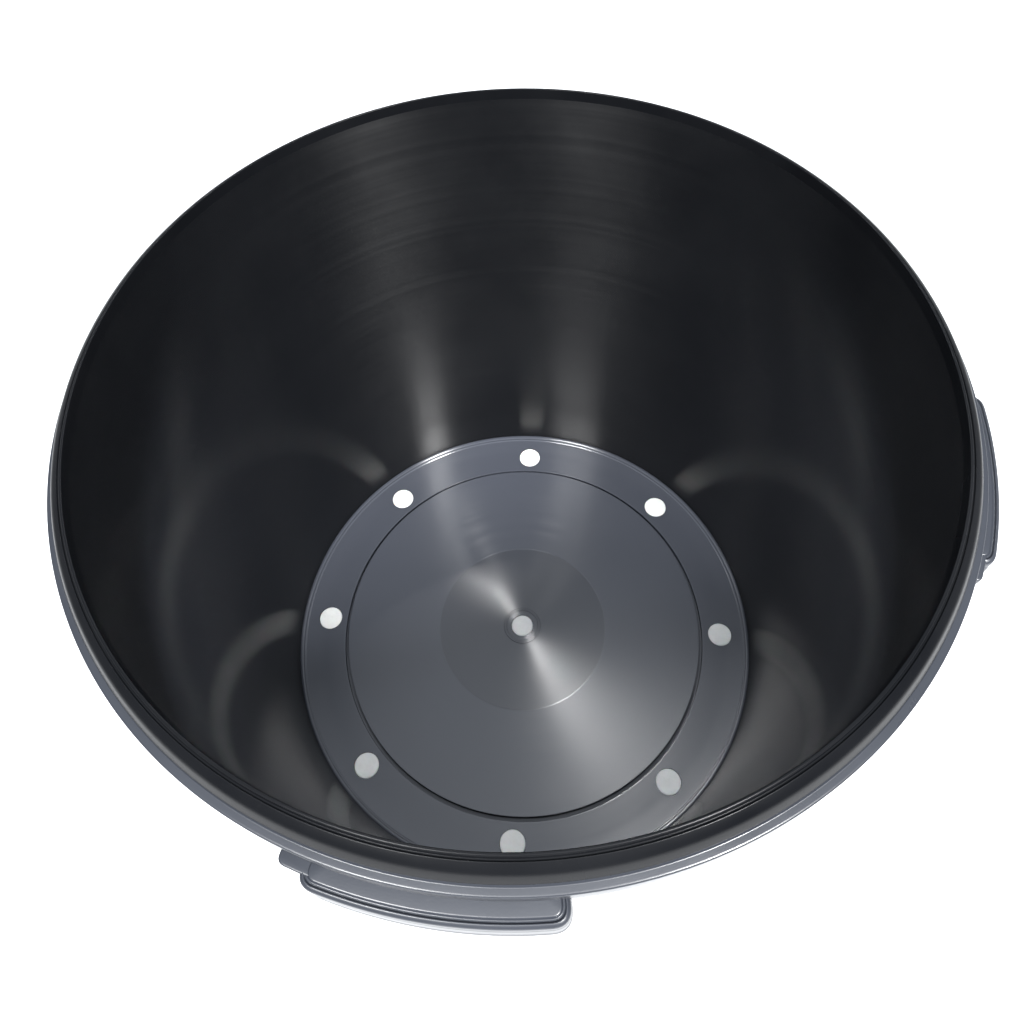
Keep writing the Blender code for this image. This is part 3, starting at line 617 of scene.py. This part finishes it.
def tub_floor_outline():
    """From the centre out to the foot of the wall, with its gate disc, boss ring and step groove."""
    # A point this near each side of a small step keeps the faces beside it flat
    near = 0.00025
    inside, outside = dish_height(BOSS_IN), dish_height(BOSS_OUT)
    gate = [(0.0, dish_height(0)), (BOSS_IN - near, inside), (BOSS_IN, inside)]
    boss = [(BOSS_IN + BOSS_SLOPE, inside + BOSS_HEIGHT), (BOSS_OUT - BOSS_SLOPE, outside + BOSS_HEIGHT)]
    around = [(BOSS_OUT, outside), (BOSS_OUT + near, outside)]
    around += dish_points(BOSS_OUT + near, GATE_RADIUS - near, 6)[1:]
    around.append((GATE_RADIUS, dish_height(GATE_RADIUS)))
    points = [(r, z - GATE_STEP) for r, z in gate] + boss + [(r, z - GATE_STEP) for r, z in around]
    gate_edge = GATE_RADIUS + 0.0004
    edge = PLATEAU_RADIUS - 0.0004
    lead = edge - 0.0004 - near
    points.append((gate_edge, dish_height(gate_edge)))
    points += dish_points(gate_edge + near, lead, 8)
    groove = softened(
        [
            (lead, dish_height(lead)),
            (edge, PLATEAU_HEIGHT, 0.00025),
            (edge + 0.0001, GROOVE_FLOOR),
            (edge + GROOVE_WIDTH - 0.0001, GROOVE_FLOOR),
            (edge + GROOVE_WIDTH, 0.0, 0.0002),
            (edge + GROOVE_WIDTH + 0.0008, 0.0),
        ],
        0.00015,
    )
    flat = FLOOR_RADIUS - FLOOR_FILLET
    foot = softened(
        [
            (RING_CIRCLE, 0.0),
            (flat - 0.0012, 0.0),
            (flat - 0.0007, 0.00035, 0.0004),
            (flat - 0.0001, 0.00030, 0.0002),
            (flat, 0.0, 0.0001),
        ],
        0.0001,
    )
    return points + groove[1:] + foot[:-1]


def tub_rim_outline():
    """The lip on the wall, and the shoulder, ledge, skirt and wall outside it."""
    h, r = RIM_HEIGHT, RIM_RADIUS
    lip = softened(
        [
            (wall_radius(h - 0.0040), h - 0.0040),
            (r, h - 0.0009),
            (r + 0.0001, h, 0.0003),
            (r + 0.0009, h - 0.0001, 0.0004),
            (r + 0.0012, h - 0.0014, 0.0002),
            (r + 0.0016, h - 0.0014),
        ],
        0.0004,
        4,
    )
    ledge_z = h - LEDGE_DROP
    under = ledge_z - LEDGE_THICKNESS
    skirt_z = h - SKIRT_DROP
    shoulder = r + SHOULDER_OUT
    outside = softened(
        [
            (r + 0.0016, h - 0.0014),
            (r + 0.0018, h - 0.0009, 0.0003),
            (r + 0.0040, h - 0.0024, 0.0018),
            (shoulder, h - SHOULDER_DROP, 0.0012),
            (shoulder - 0.0002, h - SHOULDER_DROP - 0.0006, 0.0002),
            (shoulder - 0.0002, ledge_z + 0.0010, 0.0002),
            (shoulder + 0.0003, ledge_z + 0.0002, 0.0002),
            (SKIRT_RADIUS - 0.0001, ledge_z, 0.0006),
            (SKIRT_RADIUS + 0.0002, skirt_z, 0.0007),
            (SKIRT_RADIUS - SKIRT_THICKNESS, skirt_z, 0.0005),
            (SKIRT_RADIUS - SKIRT_THICKNESS - 0.0004, under, 0.0006),
            (wall_radius(ledge_z) + WALL, under, 0.0008),
            (wall_radius(h * 0.5) + WALL, h * 0.5),
        ],
        0.0004,
        5,
    )
    return lip, outside[1:]


ZONES = ("tub_floor", "tub_ring", "tub_wall", "tub_rim", "tub_ledge")


def tub_outline():
    """The whole section, and for each of its spans the number of its zone in ZONES."""
    floor = tub_floor_outline()
    fillet_centre = (FLOOR_RADIUS - FLOOR_FILLET, FLOOR_FILLET)
    fillet = arc(fillet_centre, FLOOR_FILLET, -90, 0, 12)
    wall = [(wall_radius(RIM_HEIGHT * k / 8), RIM_HEIGHT * k / 8) for k in range(1, 8)]
    lip, rim = tub_rim_outline()
    bottom_corner = (FLOOR_RADIUS + WALL - FOOT_FILLET, FOOT_FILLET - FLOOR_THICKNESS)
    bottom = [(FLOOR_RADIUS + WALL, FLOOR_FILLET)] + arc(bottom_corner, FOOT_FILLET, 0, -90, 8)
    points = floor + fillet + wall + lip + rim + bottom + [(0.0, -FLOOR_THICKNESS)]
    wall_start = len(floor) + len(fillet) - 1
    rim_start = wall_start + 1 + len(wall)
    ledge_top = RIM_HEIGHT - LEDGE_DROP + 0.0011
    zones = []
    for i, (r, z) in enumerate(points[:-1]):
        if i < len(floor) and r < PLATEAU_RADIUS - 0.0005:
            zone = "tub_floor"
        elif i < wall_start:
            zone = "tub_ring"
        elif i < rim_start:
            zone = "tub_wall"
        elif z > ledge_top:
            zone = "tub_rim"
        else:
            zone = "tub_ledge"
        zones.append(ZONES.index(zone))
    return points, zones


def make_tub():
    """The bowl, with a seat cut for each bolt head."""
    bm = bmesh.new()
    points, zones = tub_outline()
    add_lathe(bm, points, ROUND, zones, Matrix.Translation((0, 0, FLOOR_Z)))
    tub = new_object("tub_bowl", bm, *[MATERIALS[zone] for zone in ZONES])
    seats = bmesh.new()
    bottom, top = FLOOR_Z - 0.0029, FLOOR_Z + 0.01
    for name in bolt_names():
        radius, _, _, move = upright(name)
        add_lathe(seats, post(radius + BOLT_CLEARANCE, bottom, top), SMALL, None, move)
    cut(tub, seats)
    place(tub, "carrier", "tub_black", "tub", angle=30)


def bolt_names():
    return ["centre_bolt"] + [f"ring_bolt_{n + 1}" for n in range(RING_COUNT)]


def grip_path(inset, first, last):
    """The grip's outline in plan, from the wall out round its two corners and back, moved in by inset."""
    outer = GRIP_RADIUS - inset
    corner = max(GRIP_CORNER - inset, 0.0006)
    shift = degrees(inset / GRIP_RADIUS)
    start, end = first + shift, last - shift
    turn = degrees(corner / outer)
    halfway = (GRIP_ROOT + outer - corner) / 2
    steps = 48
    points = [polar(GRIP_ROOT, start), polar(halfway, start)]
    points += corner_points(outer, corner, start, turn, 1)
    for i in range(1, steps):
        points.append(polar(outer, start + turn + (end - start - 2 * turn) * i / steps))
    points += reversed(corner_points(outer, corner, end, turn, -1))
    points += [polar(halfway, end), polar(GRIP_ROOT, end)]
    return points


def corner_points(outer, corner, angle, turn, side):
    """A rounded corner in plan, from the cheek to the outer arc."""
    first = polar(outer - corner, angle)
    middle = polar(outer, angle)
    last = polar(outer, angle + side * turn)
    return rounded_corner(first, middle, last, 8)


def make_grip(name, first, last):
    """A finger grip: a top plate with a rolled, lined lip, open underneath."""
    top = RIM_HEIGHT - GRIP_TOP_DROP
    foot = RIM_HEIGHT - GRIP_BOTTOM_DROP
    # Each point is (inset from the grip's outer face, height over the floor)
    section = softened(
        [
            (0.0085, top + 0.0003),
            (0.0029, top, 0.0004),
            (0.0026, top - 0.0007, 0.0002),
            (0.0021, top - 0.0007, 0.0002),
            (0.0018, top - 0.0001, 0.0005),
            (0.0008, top - 0.0008, 0.0006),
            (0.0006, top - 0.0026, 0.0003),
            (0.0011, top - 0.0030, 0.0002),
            (0.0009, top - 0.0036, 0.0002),
            (0.0005, top - 0.0050, 0.0006),
            (0.0003, foot + 0.0030, 0.0006),
            (0.0000, foot + 0.0020, 0.0006),
            (0.0000, foot, 0.0007),
            (0.0024, foot, 0.0007),
            (0.0026, top - 0.0034, 0.0010),
            (0.0085, top - 0.0032),
        ],
        0.0003,
    )
    bm = bmesh.new()
    rows = []
    for inset, z in section:
        path = grip_path(inset, first, last)
        rows.append([bm.verts.new((p.x, p.y, z + FLOOR_Z)) for p in path])
    made = []
    for a, b in zip(rows, rows[1:] + rows[:1]):
        for k in range(len(a) - 1):
            made.append(bm.faces.new((a[k], a[k + 1], b[k + 1], b[k])))
    made.append(bm.faces.new([row[0] for row in rows]))
    made.append(bm.faces.new([row[-1] for row in rows]))
    bmesh.ops.recalc_face_normals(bm, faces=made)
    grip = new_object(name, bm, MATERIALS["tub_ledge"])
    place(grip, "carrier", "tub_black", angle=40)
    make_wing(name + "_wing", first)


def make_wing(name, start):
    """The short step in the grip's top, clockwise of its lip."""
    top = RIM_HEIGHT - GRIP_TOP_DROP + FLOOR_Z
    first, last = start - WING_SWEEP, start + WING_OVERLAP
    face = first + WING_CORNER_SWEEP
    face_sweep = last - first - WING_CORNER_SWEEP
    steps = 10
    root = [polar(GRIP_ROOT, first + (last - first) * k / steps) for k in range(steps, -1, -1)]
    outer = corner_points(WING_RADIUS, WING_CORNER, first, degrees(WING_CORNER / WING_RADIUS), 1)
    outer += [polar(WING_RADIUS, face + face_sweep * k / steps) for k in range(steps + 1)]
    bm = bmesh.new()
    add_slab(bm, [tuple(p[:2]) for p in root + outer], top - 0.0050, top - 0.0002)
    wing = new_object(name, bm, MATERIALS["tub_ledge"])
    bevel(wing, 0.0005, 3)
    place(wing, "carrier", "tub_black", angle=40)


def make_bolts():
    """Blind bolt heads, flush with the floor, softly crowned."""
    for name in bolt_names():
        radius, tip, top, move = upright(name)
        crown = [(radius * k / 6, top + 0.00012 * (1 - (k / 6) ** 2)) for k in range(6)]
        under = [
            (radius, top - 0.0001, 0.0004),
            (radius, top - BOLT_HEAD, 0.0001),
            (BOLT_SHANK_RADIUS, top - BOLT_HEAD, 0.0001),
            (BOLT_SHANK_RADIUS, tip, 0.0006),
            (0.0, tip),
        ]
        bm = bmesh.new()
        add_lathe(bm, crown + softened([crown[-1]] + under, 0.0003)[1:], SMALL, None, move)
        add_piece(name + "_white", bm, "nylon_white", "carrier", name)


# -------------------- carrier, springs and motor

def ring_outline(inner, outer, low, high, soft):
    """A flat ring's or disc's section with soft outer edges."""
    if inner == 0.0:
        return softened(post(outer, high, low), soft)
    return softened([(inner, high), (outer, high), (outer, low), (inner, low)], soft, closed=True)


def make_ring(name, node, material, body, inner=0.0):
    """A turned ring or disc that fills its CAD node's box."""
    low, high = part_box(node)
    outer = (high.y - low.y) / 2
    bm = bmesh.new()
    add_lathe(bm, ring_outline(inner, outer, low.z, high.z, 0.0006), MEDIUM)
    add_piece(name, bm, material, body, node)


def spring_places():
    """Each spring's middle, foot and top."""
    boxes = [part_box(f"spring_{n}") for n in (1, 2, 3, 4)]
    return [((low + high) / 2, low.z, high.z) for low, high in boxes]


def add_pegs(bm, low, high):
    """The pegs that hold the springs' ends."""
    for centre, _, _ in spring_places():
        move = Matrix.Translation((centre.x, centre.y, 0))
        add_lathe(bm, softened(post(PEG_RADIUS, high, low), 0.0008), SMALL, None, move)


def make_carrier():
    """The seal pad, and the plate under it with its pegs."""
    make_ring("seal_pad_soft", "seal_pad", "rubber_black", "carrier")
    low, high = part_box("carrier_plate")
    plate_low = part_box("seal_pad")[0].z - CARRIER_THICKNESS
    bm = bmesh.new()
    add_lathe(bm, ring_outline(0.0, high.x, plate_low, high.z, 0.0007), MEDIUM)
    add_pegs(bm, low.z, plate_low + 0.001)
    add_piece("carrier_plate_zinc", bm, "zinc_plate", "carrier", "carrier_plate")


def make_springs():
    """Closed-end coils that stretch between the deck and the carrier."""
    steps = SPRING_TURNS * 36
    for number, (centre, low, high) in enumerate(spring_places(), 1):
        start, end = low + SPRING_WIRE, high - SPRING_WIRE
        path = []
        for i in range(steps + 1):
            share = i / steps
            # The pitch is smaller near both ends, as in a spring with closed ends
            rise = share - sin(2 * pi * share) / (2 * pi) * 0.55
            point = centre + polar(SPRING_RADIUS, 360 * SPRING_TURNS * share)
            point.z = start + (end - start) * rise
            path.append(point)
        bm = bmesh.new()
        add_tube(bm, path, SPRING_WIRE, 14)
        spring = new_object(f"spring_coil_{number}", bm, MATERIALS["spring_steel"])
        shade(spring)
        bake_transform(spring)
        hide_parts(f"spring_{number}")


def make_motor():
    """The ribbed housing, the two castings that close it and the bearings."""
    low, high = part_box("motor_housing")
    radius = high.x
    rib_depth = 0.0014
    outline = [(radius - 0.0030, high.z), (radius, high.z)]
    for rib in range(MOTOR_RIBS):
        z = high.z - 0.006 - rib * MOTOR_RIB_STEP
        outline += [(radius, z), (radius - rib_depth, z - 0.0004)]
        outline += [(radius - rib_depth, z - 0.0028), (radius, z - 0.0032)]
    outline += [(radius, low.z), (radius - 0.0030, low.z)]
    bm = bmesh.new()
    add_lathe(bm, softened(outline, 0.0004, closed=True), MEDIUM)
    add_piece("motor_housing_ribbed", bm, "motor_aluminium", "carrier", "motor_housing")
    for node in ("motor_flange", "motor_end_cap"):
        make_ring(node + "_cast", node, "motor_aluminium", "carrier", MOTOR_BORE)
    for node in ("upper_bearing", "lower_bearing"):
        make_bearing(node)


def make_bearing(node):
    """Two races with a sunk ring between them."""
    low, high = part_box(node)
    outer, inner = high.x, SHAFT_BORE
    race, dip = 0.0016, 0.0004
    section = softened(
        [
            (inner, high.z),
            (inner + race, high.z),
            (inner + race + 0.0002, high.z - dip),
            (outer - race - 0.0002, high.z - dip),
            (outer - race, high.z),
            (outer, high.z),
            (outer, low.z),
            (inner, low.z),
        ],
        0.0002,
        closed=True,
    )
    bm = bmesh.new()
    add_lathe(bm, section, BEARING)
    add_piece(node + "_races", bm, "steel_bright", "carrier", node)


def weight_outline(radius):
    """Half a disc round +X, with a round hub behind it."""
    return arc((0, 0), radius, -82, 82, 40) + arc((0, 0), WEIGHT_HUB, 90, 270, 24)


def make_rotor():
    """The shaft and the two unbalanced weights."""
    low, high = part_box("rotor_shaft")
    bm = bmesh.new()
    add_lathe(bm, softened(post(high.x, high.z, low.z), 0.0008), SMALL)
    add_piece("rotor_shaft_ground", bm, "steel_bright", "rotor", "rotor_shaft")
    for node in ("upper_weight", "lower_weight"):
        low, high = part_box(node)
        turn = Matrix.Rotation(pi / 2 if high.y > high.x else 0.0, 4, "Z")
        bm = bmesh.new()
        add_slab(bm, weight_outline(max(high.x, high.y)), low.z, high.z, turn)
        weight = new_object(node + "_cast", bm, MATERIALS["weight_iron"])
        bore = bmesh.new()
        add_lathe(bore, post(SHAFT_BORE, high.z + 0.01, low.z - 0.01), SMALL)
        cut(weight, bore)
        bevel(weight, 0.0007)
        place(weight, "rotor", "weight_iron", node)


# -------------------- base

def slot_outline(width, height):
    """A slot with round ends, long in y."""
    half = height / 2 - width / 2
    return arc((0, half), width / 2, 0, 180, 10) + arc((0, -half), width / 2, 180, 360, 10)


def facing(y_sign, height):
    """Turns +Z to point out of the front (-1) or the back (+1), at this height."""
    return Matrix.Translation((0, 0, height)) @ Matrix.Rotation(radians(-90 * y_sign), 4, "X")


def middle_height(node):
    low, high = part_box(node)
    return (low.z + high.z) / 2


def shell_section():
    """The base shell's wall and top flange, with a shadow line under its shoulder."""
    low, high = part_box("base_shell")
    radius = high.x
    inside = radius - SHELL_WALL
    line_top, line_bottom, line_depth = high.z - 0.0100, high.z - 0.0120, 0.0006
    return softened(
        [
            (SHELL_FLANGE, high.z),
            (radius, high.z, 0.0040),
            (radius, line_top),
            (radius - line_depth, line_top - 0.0004, 0.0003),
            (radius - line_depth, line_bottom + 0.0004, 0.0003),
            (radius, line_bottom),
            (radius, low.z + 0.0060),
            (radius - 0.0012, low.z, 0.0010),
            (inside, low.z),
            (inside, high.z - 0.0100),
            (SHELL_FLANGE, high.z - 0.0060),
        ],
        0.0006,
        4,
        closed=True,
    )


def shell_additions():
    """The flats for the switch and the gland, and the four lugs for the feet."""
    low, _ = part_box("base_shell")
    face = -low.y
    switch = facing(-1, middle_height("switch_bezel"))
    gland = facing(1, middle_height("cable_gland"))
    added = bmesh.new()
    add_slab(added, box_outline(0.040, 0.032, 0.004), 0.100, face, switch)
    add_slab(added, box_outline(0.028, 0.028, 0.004), 0.100, face, gland)
    lug_in, lug_out, lug_half = 0.086, 0.1065, 0.0075
    lug = [(lug_in, -lug_half), (lug_out, -lug_half), (lug_out, lug_half), (lug_in, lug_half)]
    for angle in (45, 135, 225, 315):
        turn = Matrix.Rotation(radians(angle), 4, "Z")
        add_slab(added, lug, low.z + 0.0036, low.z + 0.018, turn)
    return added


def shell_holes():
    """The holes for the switch and the gland, and a row of vents in each side."""
    switch = facing(-1, middle_height("switch_bezel"))
    gland = facing(1, middle_height("cable_gland"))
    inner, outer = 0.09, 0.12
    holes = bmesh.new()
    add_slab(holes, box_outline(0.0246, 0.0182, 0.001), inner, outer, switch)
    add_lathe(holes, post(0.0063, inner, outer), SMALL, None, gland)
    lift = Matrix.Translation((0, 0, VENT_HEIGHT))
    outwards = Matrix.Rotation(pi / 2, 4, "Y") @ Matrix.Rotation(pi / 2, 4, "Z")
    for side in (0, 180):
        for number in range(VENTS):
            angle = radians(side + VENT_STEP * (number - VENTS // 2))
            turn = Matrix.Rotation(angle, 4, "Z") @ lift @ outwards
            add_slab(holes, slot_outline(VENT_WIDTH, VENT_LENGTH), 0.098, 0.118, turn)
    return holes


def make_base():
    """The moulded shell, and the plate that closes it from below."""
    bm = bmesh.new()
    add_lathe(bm, shell_section(), MEDIUM)
    shell = new_object("base_shell_moulded", bm, MATERIALS["base_black"])
    cut(shell, shell_additions(), "UNION")
    cut(shell, shell_holes())
    bevel(shell, 0.0003, 2, 50)
    place(shell, "base", "base_black", "base_shell", angle=28)
    weighted = shell.modifiers.new("weighted_normals", "WEIGHTED_NORMAL")
    weighted.keep_sharp = True
    make_ring("base_plate_zinc", "base_plate", "zinc_plate", "base")


def make_deck():
    """The ring that the springs stand on, with its pegs."""
    low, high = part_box("deck_ring")
    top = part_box("spring_1")[0].z - 0.0003
    bm = bmesh.new()
    add_lathe(bm, ring_outline(DECK_BORE, high.x, low.z, top, 0.0007), MEDIUM)
    add_pegs(bm, top - 0.001, high.z)
    add_piece("deck_ring_zinc", bm, "zinc_plate", "base", "deck_ring")


def make_screw(node, up):
    """A pan-head screw with a cross recess."""
    radius, low, high, move = upright(node)
    shank = 0.0018
    top, tip = (high, low) if up > 0 else (low, high)
    under = top - up * 0.0022
    outline = [
        (0.0, top),
        (radius * 0.62, top - up * 0.0002, 0.0008),
        (radius, under + up * 0.0009, 0.0007),
        (radius, under, 0.0001),
        (shank, under, 0.0001),
        (shank, tip, 0.0003),
        (0.0, tip),
    ]
    bm = bmesh.new()
    add_lathe(bm, softened(outline, 0.0003), FINE, None, move)
    screw = new_object(node + "_pan", bm, MATERIALS["steel_bright"])
    reach, half = radius * 0.55, 0.00045
    cross_outline = [
        (reach, -half), (reach, half), (half, half), (half, reach), (-half, reach), (-half, half),
        (-reach, half), (-reach, -half), (-half, -half), (-half, -reach), (half, -reach), (half, -half),
    ]
    # Each screw stops at a turn of its own
    turned = move @ Matrix.Rotation(radians(20 + 37 * int(node[-1])), 4, "Z")
    cross = bmesh.new()
    add_slab(cross, cross_outline, *sorted((top - up * 0.0011, top + up * 0.005)), turned)
    cut(screw, cross)
    place(screw, "base", "steel_bright", node)


def foot_outline(radius, top):
    """A hollow foot with a groove round it."""
    bore, recess = 0.0021, 0.0042
    waist = radius - 0.0007
    return softened(
        [
            (bore, top),
            (radius, top, 0.0006),
            (radius, 0.0080, 0.0003),
            (waist, 0.0074, 0.0003),
            (waist, 0.0066, 0.0003),
            (radius, 0.0060, 0.0003),
            (radius, 0.0030, 0.0012),
            (radius - 0.0020, 0.0, 0.0010),
            (recess, 0.0, 0.0003),
            (recess, 0.0050),
            (bore, 0.0050),
        ],
        0.0003,
        closed=True,
    )


def make_feet():
    """The feet, and the screws of the feet and the deck."""
    for number in (1, 2, 3, 4):
        node = f"foot_{number}"
        radius, _, top, move = upright(node)
        bm = bmesh.new()
        add_lathe(bm, foot_outline(radius, top), SMALL, None, move)
        add_piece(node + "_rubber", bm, "rubber_black", "base", node)
        make_screw(f"foot_screw_{number}", -1)
        make_screw(f"deck_screw_{number}", 1)


def make_switch():
    """The switch's frame with its neck, and the rocker in it."""
    low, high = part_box("switch_bezel")
    z = (low.z + high.z) / 2
    out = facing(-1, z)
    front = -low.y
    bm = bmesh.new()
    add_slab(bm, box_outline(high.x - low.x, high.z - low.z, 0.003), front - 0.0026, front, out)
    bezel = new_object("switch_bezel_moulded", bm, MATERIALS["trim_black"])
    neck = bmesh.new()
    add_slab(neck, box_outline(0.0240, 0.0176, 0.001), 0.100, front - 0.002, out)
    cut(bezel, neck, "UNION")
    hole = bmesh.new()
    add_slab(hole, box_outline(0.0210, 0.0146, 0.0006), 0.09, front + 0.01, out)
    cut(bezel, hole)
    bevel(bezel, 0.0006, 3)
    place(bezel, "base", "trim_black", "switch_bezel")
    make_rocker(z)


def make_rocker(z):
    """The rocker, tilted to off, with a plain white dot at its upper end."""
    low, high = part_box("switch_rocker")
    half = (high.x - low.x) / 2
    edge = 62
    outline = [(ROCKER_VALLEY, 0.0)]
    outline += arc((0, 0), ROCKER_REACH, edge, 125, 10)
    outline += arc((0, 0), ROCKER_REACH, 235, 360 - edge, 10)
    # Takes the outline's x, y and the slab's height to world -Y, Z and -X
    side_on = Matrix(((0, 0, -1, 0), (-1, 0, 0, 0), (0, 1, 0, 0), (0, 0, 0, 1)))
    pivot = Matrix.Translation((0, ROCKER_PIVOT_Y, z))
    pose = pivot @ Matrix.Rotation(radians(-ROCKER_TILT), 4, "X")
    bm = bmesh.new()
    add_slab(bm, outline, -half, half, pose @ side_on)
    rocker = new_object("switch_rocker_red", bm, MATERIALS["rocker_red"])
    bevel(rocker, 0.0004)
    place(rocker, "rocker", "rocker_red", "switch_rocker")
    # Half of the rocker's face runs from its valley up to its edge
    rise = ROCKER_REACH * cos(radians(edge)) - ROCKER_VALLEY
    lean = atan(rise / (ROCKER_REACH * sin(radians(edge))))
    height = 0.0032
    depth = ROCKER_VALLEY + height * sin(lean) / cos(lean) + 0.00005
    on_face = Matrix.Translation((0, -depth, height)) @ Matrix.Rotation(pi / 2 + lean, 4, "X")
    dot = bmesh.new()
    add_slab(dot, arc((0, 0), 0.0011, 0, 345, 24), -0.0001, 0.00012, pose @ on_face)
    place(new_object("rocker_dot", dot, MATERIALS["mark_white"]), "rocker", "rocker_red")


def make_gland():
    """The cable gland: a fluted cap over a hexagon, with an open bore."""
    low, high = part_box("cable_gland")
    out = facing(1, middle_height("cable_gland"))
    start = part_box("base_shell")[1].y + 0.0003
    tip = high.y
    root = low.y
    neck, cap_radius = 0.0060, 0.0088
    bm = bmesh.new()
    add_slab(bm, [tuple(polar(0.0098, 60 * k)[:2]) for k in range(6)], start, start + 0.0046, out)
    body = new_object("cable_gland_cap", bm, MATERIALS["trim_black"])
    section = softened(
        [
            (0.0, root), (neck, root), (neck, start + 0.001), (cap_radius, start + 0.0044),
            (cap_radius, start + 0.0095, 0.0010), (0.0062, tip, 0.0012), (0.0, tip),
        ],
        0.0004,
    )
    cap = bmesh.new()
    add_lathe(cap, section, BEARING, None, out)
    cut(body, cap, "UNION")
    flute = post(0.0012, tip, start + 0.0058)
    holes = bmesh.new()
    add_lathe(holes, post(GLAND_BORE, tip + 0.01, root - 0.01), SMALL, None, out)
    for number in range(12):
        add_lathe(holes, flute, TINY, None, out @ Matrix.Translation(polar(0.0096, 30 * number)))
    cut(body, holes)
    bevel(body, 0.0003, 2, 40)
    place(body, "base", "trim_black", "cable_gland")


# -------------------- CAD nodes that stay

def dress_kept_nodes():
    """Gives each CAD node that stays in view its finished material."""
    kept = {
        "nylon_white": [f"ring_nut_{n}" for n in range(1, 9)] + ["centre_nut"],
        "steel_bright": [f"motor_standoff_{n}" for n in range(1, 5)]
        + ["upper_clamp_screw", "lower_clamp_screw"],
        "core_steel": ["stator_core", "rotor_core"],
        "trim_black": ["gland_nut"],
    }
    for material, nodes in kept.items():
        for node in nodes:
            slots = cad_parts[node].data.materials
            slots.clear()
            slots.append(MATERIALS[material])


# -------------------- stage, light and camera

def make_stage():
    """A plain round floor."""
    bm = bmesh.new()
    bmesh.ops.create_circle(bm, cap_ends=True, segments=96, radius=6.0)
    floor = new_object("stage_floor", bm, pale_floor())


def softbox(name, azimuth, elevation, size, power, distance=1.5, colour=(1, 1, 1)):
    """An area light that looks into the tub. Azimuth counts from +X."""
    light = bpy.data.lights.new(name, "AREA")
    light.shape = "RECTANGLE"
    light.size, light.size_y = size
    light.energy = power
    light.color = colour
    obj = bpy.data.objects.new(name, light)
    flat = polar(cos(radians(elevation)) * distance, azimuth)
    aim = Vector((0, 0, 0.25))
    obj.location = aim + flat + Vector((0, 0, sin(radians(elevation)) * distance))
    obj.rotation_mode = "QUATERNION"
    obj.rotation_quaternion = (obj.location - aim).to_track_quat("Z", "Y")
    bpy.context.scene.collection.objects.link(obj)


def make_lights():
    """A dim pale world, one wide light overhead, and the narrow ones that the glossy plastic mirrors."""
    world = bpy.data.worlds.new("studio")
    world.use_nodes = True
    background = world.node_tree.nodes["Background"]
    background.inputs["Color"].default_value = (0.92, 0.95, 1.0, 1.0)
    background.inputs["Strength"].default_value = 0.6
    bpy.context.scene.world = world
    softbox("overhead", 90, 89, size=(2.4, 2.4), power=27.0, distance=1.3, colour=(0.84, 0.91, 1.0))
    softbox("left_window", -113, 48, size=(0.28, 0.50), power=60.0)
    softbox("right_window", -50, 48, size=(0.15, 0.50), power=84.0)
    softbox("back_strip", 103, 61, size=(0.018, 0.25), power=6.0, distance=1.4)


CAMERA_AZIMUTH = 7.02
CAMERA_ELEVATION = 56.57
CAMERA_ROLL = -4.41
CAMERA_TARGET = (-0.0192, 0.1314, FLOOR_Z)
CAMERA_DISTANCE = 0.5017
CAMERA_LENS = 29.32
CAMERA_SHIFT = (0.0118, -0.0983)


def make_camera():
    """The photograph's viewpoint, close over the rim and looking down to the floor."""
    azimuth, elevation, roll = radians(CAMERA_AZIMUTH), radians(CAMERA_ELEVATION), radians(CAMERA_ROLL)
    back = Vector((sin(azimuth) * cos(elevation), -cos(azimuth) * cos(elevation), sin(elevation)))
    across = Vector((0, 0, 1)).cross(back).normalized()
    up = back.cross(across)
    right = across * cos(roll) + up * sin(roll)
    top = up * cos(roll) - across * sin(roll)
    camera = bpy.data.cameras.new("camera")
    camera.sensor_width = 36.0
    camera.lens = CAMERA_LENS
    camera.shift_x, camera.shift_y = CAMERA_SHIFT
    camera.clip_start = 0.02
    obj = bpy.data.objects.new("camera", camera)
    turn = Matrix((right, top, back)).transposed().to_4x4()
    obj.matrix_world = Matrix.Translation(Vector(CAMERA_TARGET) + back * CAMERA_DISTANCE) @ turn
    bpy.context.scene.collection.objects.link(obj)
    bpy.context.scene.camera = obj


make_camera()
make_lights()
make_stage()
make_tub()
for grip_name, grip_arc in GRIPS.items():
    make_grip(grip_name, *grip_arc)
make_bolts()
make_carrier()
make_springs()
make_motor()
make_rotor()
make_base()
make_deck()
make_feet()
make_switch()
make_gland()
dress_kept_nodes()
bpy.context.scene.view_settings.view_transform = "Standard"
